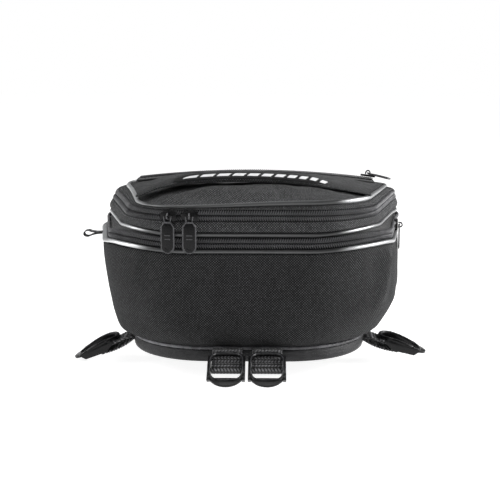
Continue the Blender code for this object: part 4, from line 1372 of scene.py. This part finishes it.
def buckle_parts():
    """A ladder-lock buckle round the bar at its origin."""
    inner = BUCKLE_HALF - RAIL
    plate = [(-12, 2.6), (-13.5, 5.2), (-3, 5.4), (9, 5.2), (21, 4.8), (16.5, -0.6), (-3, -1.9)]
    parts = []
    for low, high in ((-BUCKLE_HALF, -inner), (inner, BUCKLE_HALF)):
        parts.append(slab_mesh(plate, low, high))
        for start, end in ((-11, -8), (-2, 4), (13, 20)):
            post = [(start, 4.6), (end, 4.6), (end, 6.6 if end < 10 else 5.2), (start, 6.6)]
            parts.append(slab_mesh(post, low + 0.4, high - 0.4))
    parts.append(bar_mesh([(0, -inner - 1, 0.02), (0, 0, 0), (0, inner + 1, 0.02)], BAR_R, 14))
    parts.append(rim_mesh(1.0, 0, 1.5, 1.9))
    # A thin bar just inside and above the rim, in the lighter black: a painted highlight.
    parts.append(highlight_colour(rim_mesh(0.965, 1.35, 0.5, 0.6)))
    lip = [(17.5, -inner - 1), (20.5, -inner + 0.5)] + arc((14.5, 0), 13.6, -48, 48, 15)
    lip += [(20.5, inner - 0.5), (17.5, inner + 1)]
    parts.append(slab_mesh(lip, 2.4, 4.4, drooping))
    return parts


def drooping(a, b, c):
    return a, b, c - 0.02 * (a - 18)


def rim_mesh(scale, lift, half_width, half_height):
    """The arched rim that runs over both rails, round the lip and back over the webbing."""
    angle = np.radians(np.linspace(0, 360, 49)[:-1])
    across, along = np.sin(angle), np.cos(angle)
    x = 2.8 + 19.0 * scale * np.copysign(np.abs(along) ** 0.625, along)
    y = (BUCKLE_HALF - 1.5) * scale * np.copysign(np.abs(across) ** 0.625, across)
    arch = 6.9 - np.where(x > -4, 0.007, 0.012) * (x + 4) ** 2
    path = np.column_stack([x, y, np.maximum(arch, 3.6) + lift])
    along = unit(np.roll(path, -1, axis=0) - np.roll(path, 1, axis=0))
    up = unit(np.array((0, 0, 1.0)) - along * along[:, 2:3])
    return loft("rim", tube_rings(path, 1, half_width * np.cross(along, up), half_height * up, 12))


def strap_path():
    """A webbing loop from its root, out over the buckle's bar and back under it."""
    share = np.linspace(0, 1, 50)
    reach = (STRAP_LENGTH - 5) * share
    rib = WEBBING_RIB * np.sin(reach * 2 * math.pi / WEBBING_RIB_PITCH)
    sag = np.sin(math.pi * share)
    over = np.column_stack([3 + reach, LOOP_R - 0.5 * sag + rib])
    under = np.column_stack([3 + reach, -LOOP_R - 0.8 * sag + rib])[::-1]
    return np.vstack([(-4.2, 0.9), over, arc((STRAP_LENGTH, 0), LOOP_R, 80, -80, 15), under, (-4.2, -0.9)])


def make_straps():
    """Webbing loops sewn to the skirt, each with a ladder-lock buckle on its bar."""
    for name, (root, facing, droop) in STRAPS.items():
        where, side = name.split("_")
        facing, droop = math.radians(facing), math.radians(droop)
        turned = Matrix.Rotation(facing, 3, "Z") @ Matrix.Rotation(droop, 3, "Y")

        def lay(along, across, up):
            return tuple(Vector(root) + turned @ Vector((along, across, up)))

        mesh = ribbon_mesh(f"{name}_webbing", strap_path(), WEBBING_THICK, WEBBING, lay)
        show(f"{name}_webbing", mesh, "webbing", "lower_bag", [f"{where}_strap_{side}"])
        placed = Matrix.Translation(Vector(lay(STRAP_LENGTH, 0, 0)) * MM) @ turned.to_4x4()
        body, node = f"{where}_{side}_buckle", f"{where}_buckle_{side}"
        joined(f"{name}_ladder_lock", buckle_parts(), 0.35, "plastic", placed, body, node)


# ---------------------------------------------------------------- stage


def make_stage():
    """A pale floor under the hanging buckles, soft lights and the camera."""
    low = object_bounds()[0].z - 0.002
    mesh = bpy.data.meshes.new("floor")
    sides = [(-1, -1), (1, -1), (1, 1), (-1, 1)]
    mesh.from_pydata([(FLOOR_SIZE * x, FLOOR_SIZE * y, low) for x, y in sides], [], [(0, 1, 2, 3)])
    floor = bpy.data.objects.new("floor", mesh)
    bpy.context.collection.objects.link(floor)
    look = Look("pale_floor", roughness=0.9, specular=0.1)
    look.shade((0.50, 0.50, 0.50), look.between(look.grain(look.place(), 900), 0.98, 1.02))
    look.surface.inputs["Emission Color"].default_value = (1, 1, 1, 1)
    look.surface.inputs["Emission Strength"].default_value = FLOOR_GLOW
    mesh.materials.append(look.material)
    make_world()
    for light in LIGHTS:
        make_light(*light)
    make_camera()


def make_light(name, spot, size, power):
    lamp = bpy.data.lights.new(name, "AREA")
    lamp.size = size
    lamp.energy = power
    thing = bpy.data.objects.new(name, lamp)
    thing.location = spot
    thing.rotation_euler = (Vector(LIT_POINT) - Vector(spot)).to_track_quat("-Z", "Y").to_euler()
    bpy.context.collection.objects.link(thing)


def make_world():
    """A studio with bright walls left and right and a dim ceiling, plain white where it is seen."""
    world = bpy.data.worlds.new("studio")
    bpy.context.scene.world = world
    world.use_nodes = True
    tree = world.node_tree
    seen = tree.nodes["Background"]
    seen.inputs["Color"].default_value = (1, 1, 1, 1)
    kinds = ("Background", "TexCoord", "SeparateXYZ", "Math", "MapRange", "LightPath", "MixShader")
    lit, direction, split, sideways, walls, path, choose = (tree.nodes.new(f"ShaderNode{k}") for k in kinds)
    sideways.operation = "ABSOLUTE"
    limits = (WALLS_START, WALLS_END, CEILING_LIGHT, WALL_LIGHT)
    for socket, value in zip(("From Min", "From Max", "To Min", "To Max"), limits):
        walls.inputs[socket].default_value = value
    for output, socket in (
        (direction.outputs["Generated"], split.inputs[0]),
        (split.outputs["X"], sideways.inputs[0]),
        (sideways.outputs[0], walls.inputs["Value"]),
        (walls.outputs[0], lit.inputs["Strength"]),
        (path.outputs["Is Camera Ray"], choose.inputs[0]),
        (lit.outputs[0], choose.inputs[1]),
        (seen.outputs[0], choose.inputs[2]),
        (choose.outputs[0], tree.nodes["World Output"].inputs["Surface"]),
    ):
        tree.links.new(output, socket)


def make_camera():
    azimuth = math.radians(CAMERA_AZIMUTH)
    lens = bpy.data.cameras.new("camera")
    lens.lens = CAMERA_LENS
    lens.clip_start, lens.clip_end = 0.05, 50
    camera = bpy.data.objects.new("camera", lens)
    away = CAMERA_DISTANCE
    camera.location = metres(-away * math.sin(azimuth), -away * math.cos(azimuth), CAMERA_HEIGHT)
    camera.rotation_euler = (math.radians(90 - CAMERA_PITCH), 0, -math.radians(CAMERA_YAW))
    bpy.context.collection.objects.link(camera)
    bpy.context.scene.camera = camera
    bpy.context.scene.view_settings.view_transform = "Standard"


# ---------------------------------------------------------------- the whole bag

make_base()
make_shell()
make_lower_linings()
make_lower_zip()
make_side_loop()
make_upper_tier()
make_lid()
make_pocket_zip()
make_handle()
make_sliders()
make_straps()
make_stage()
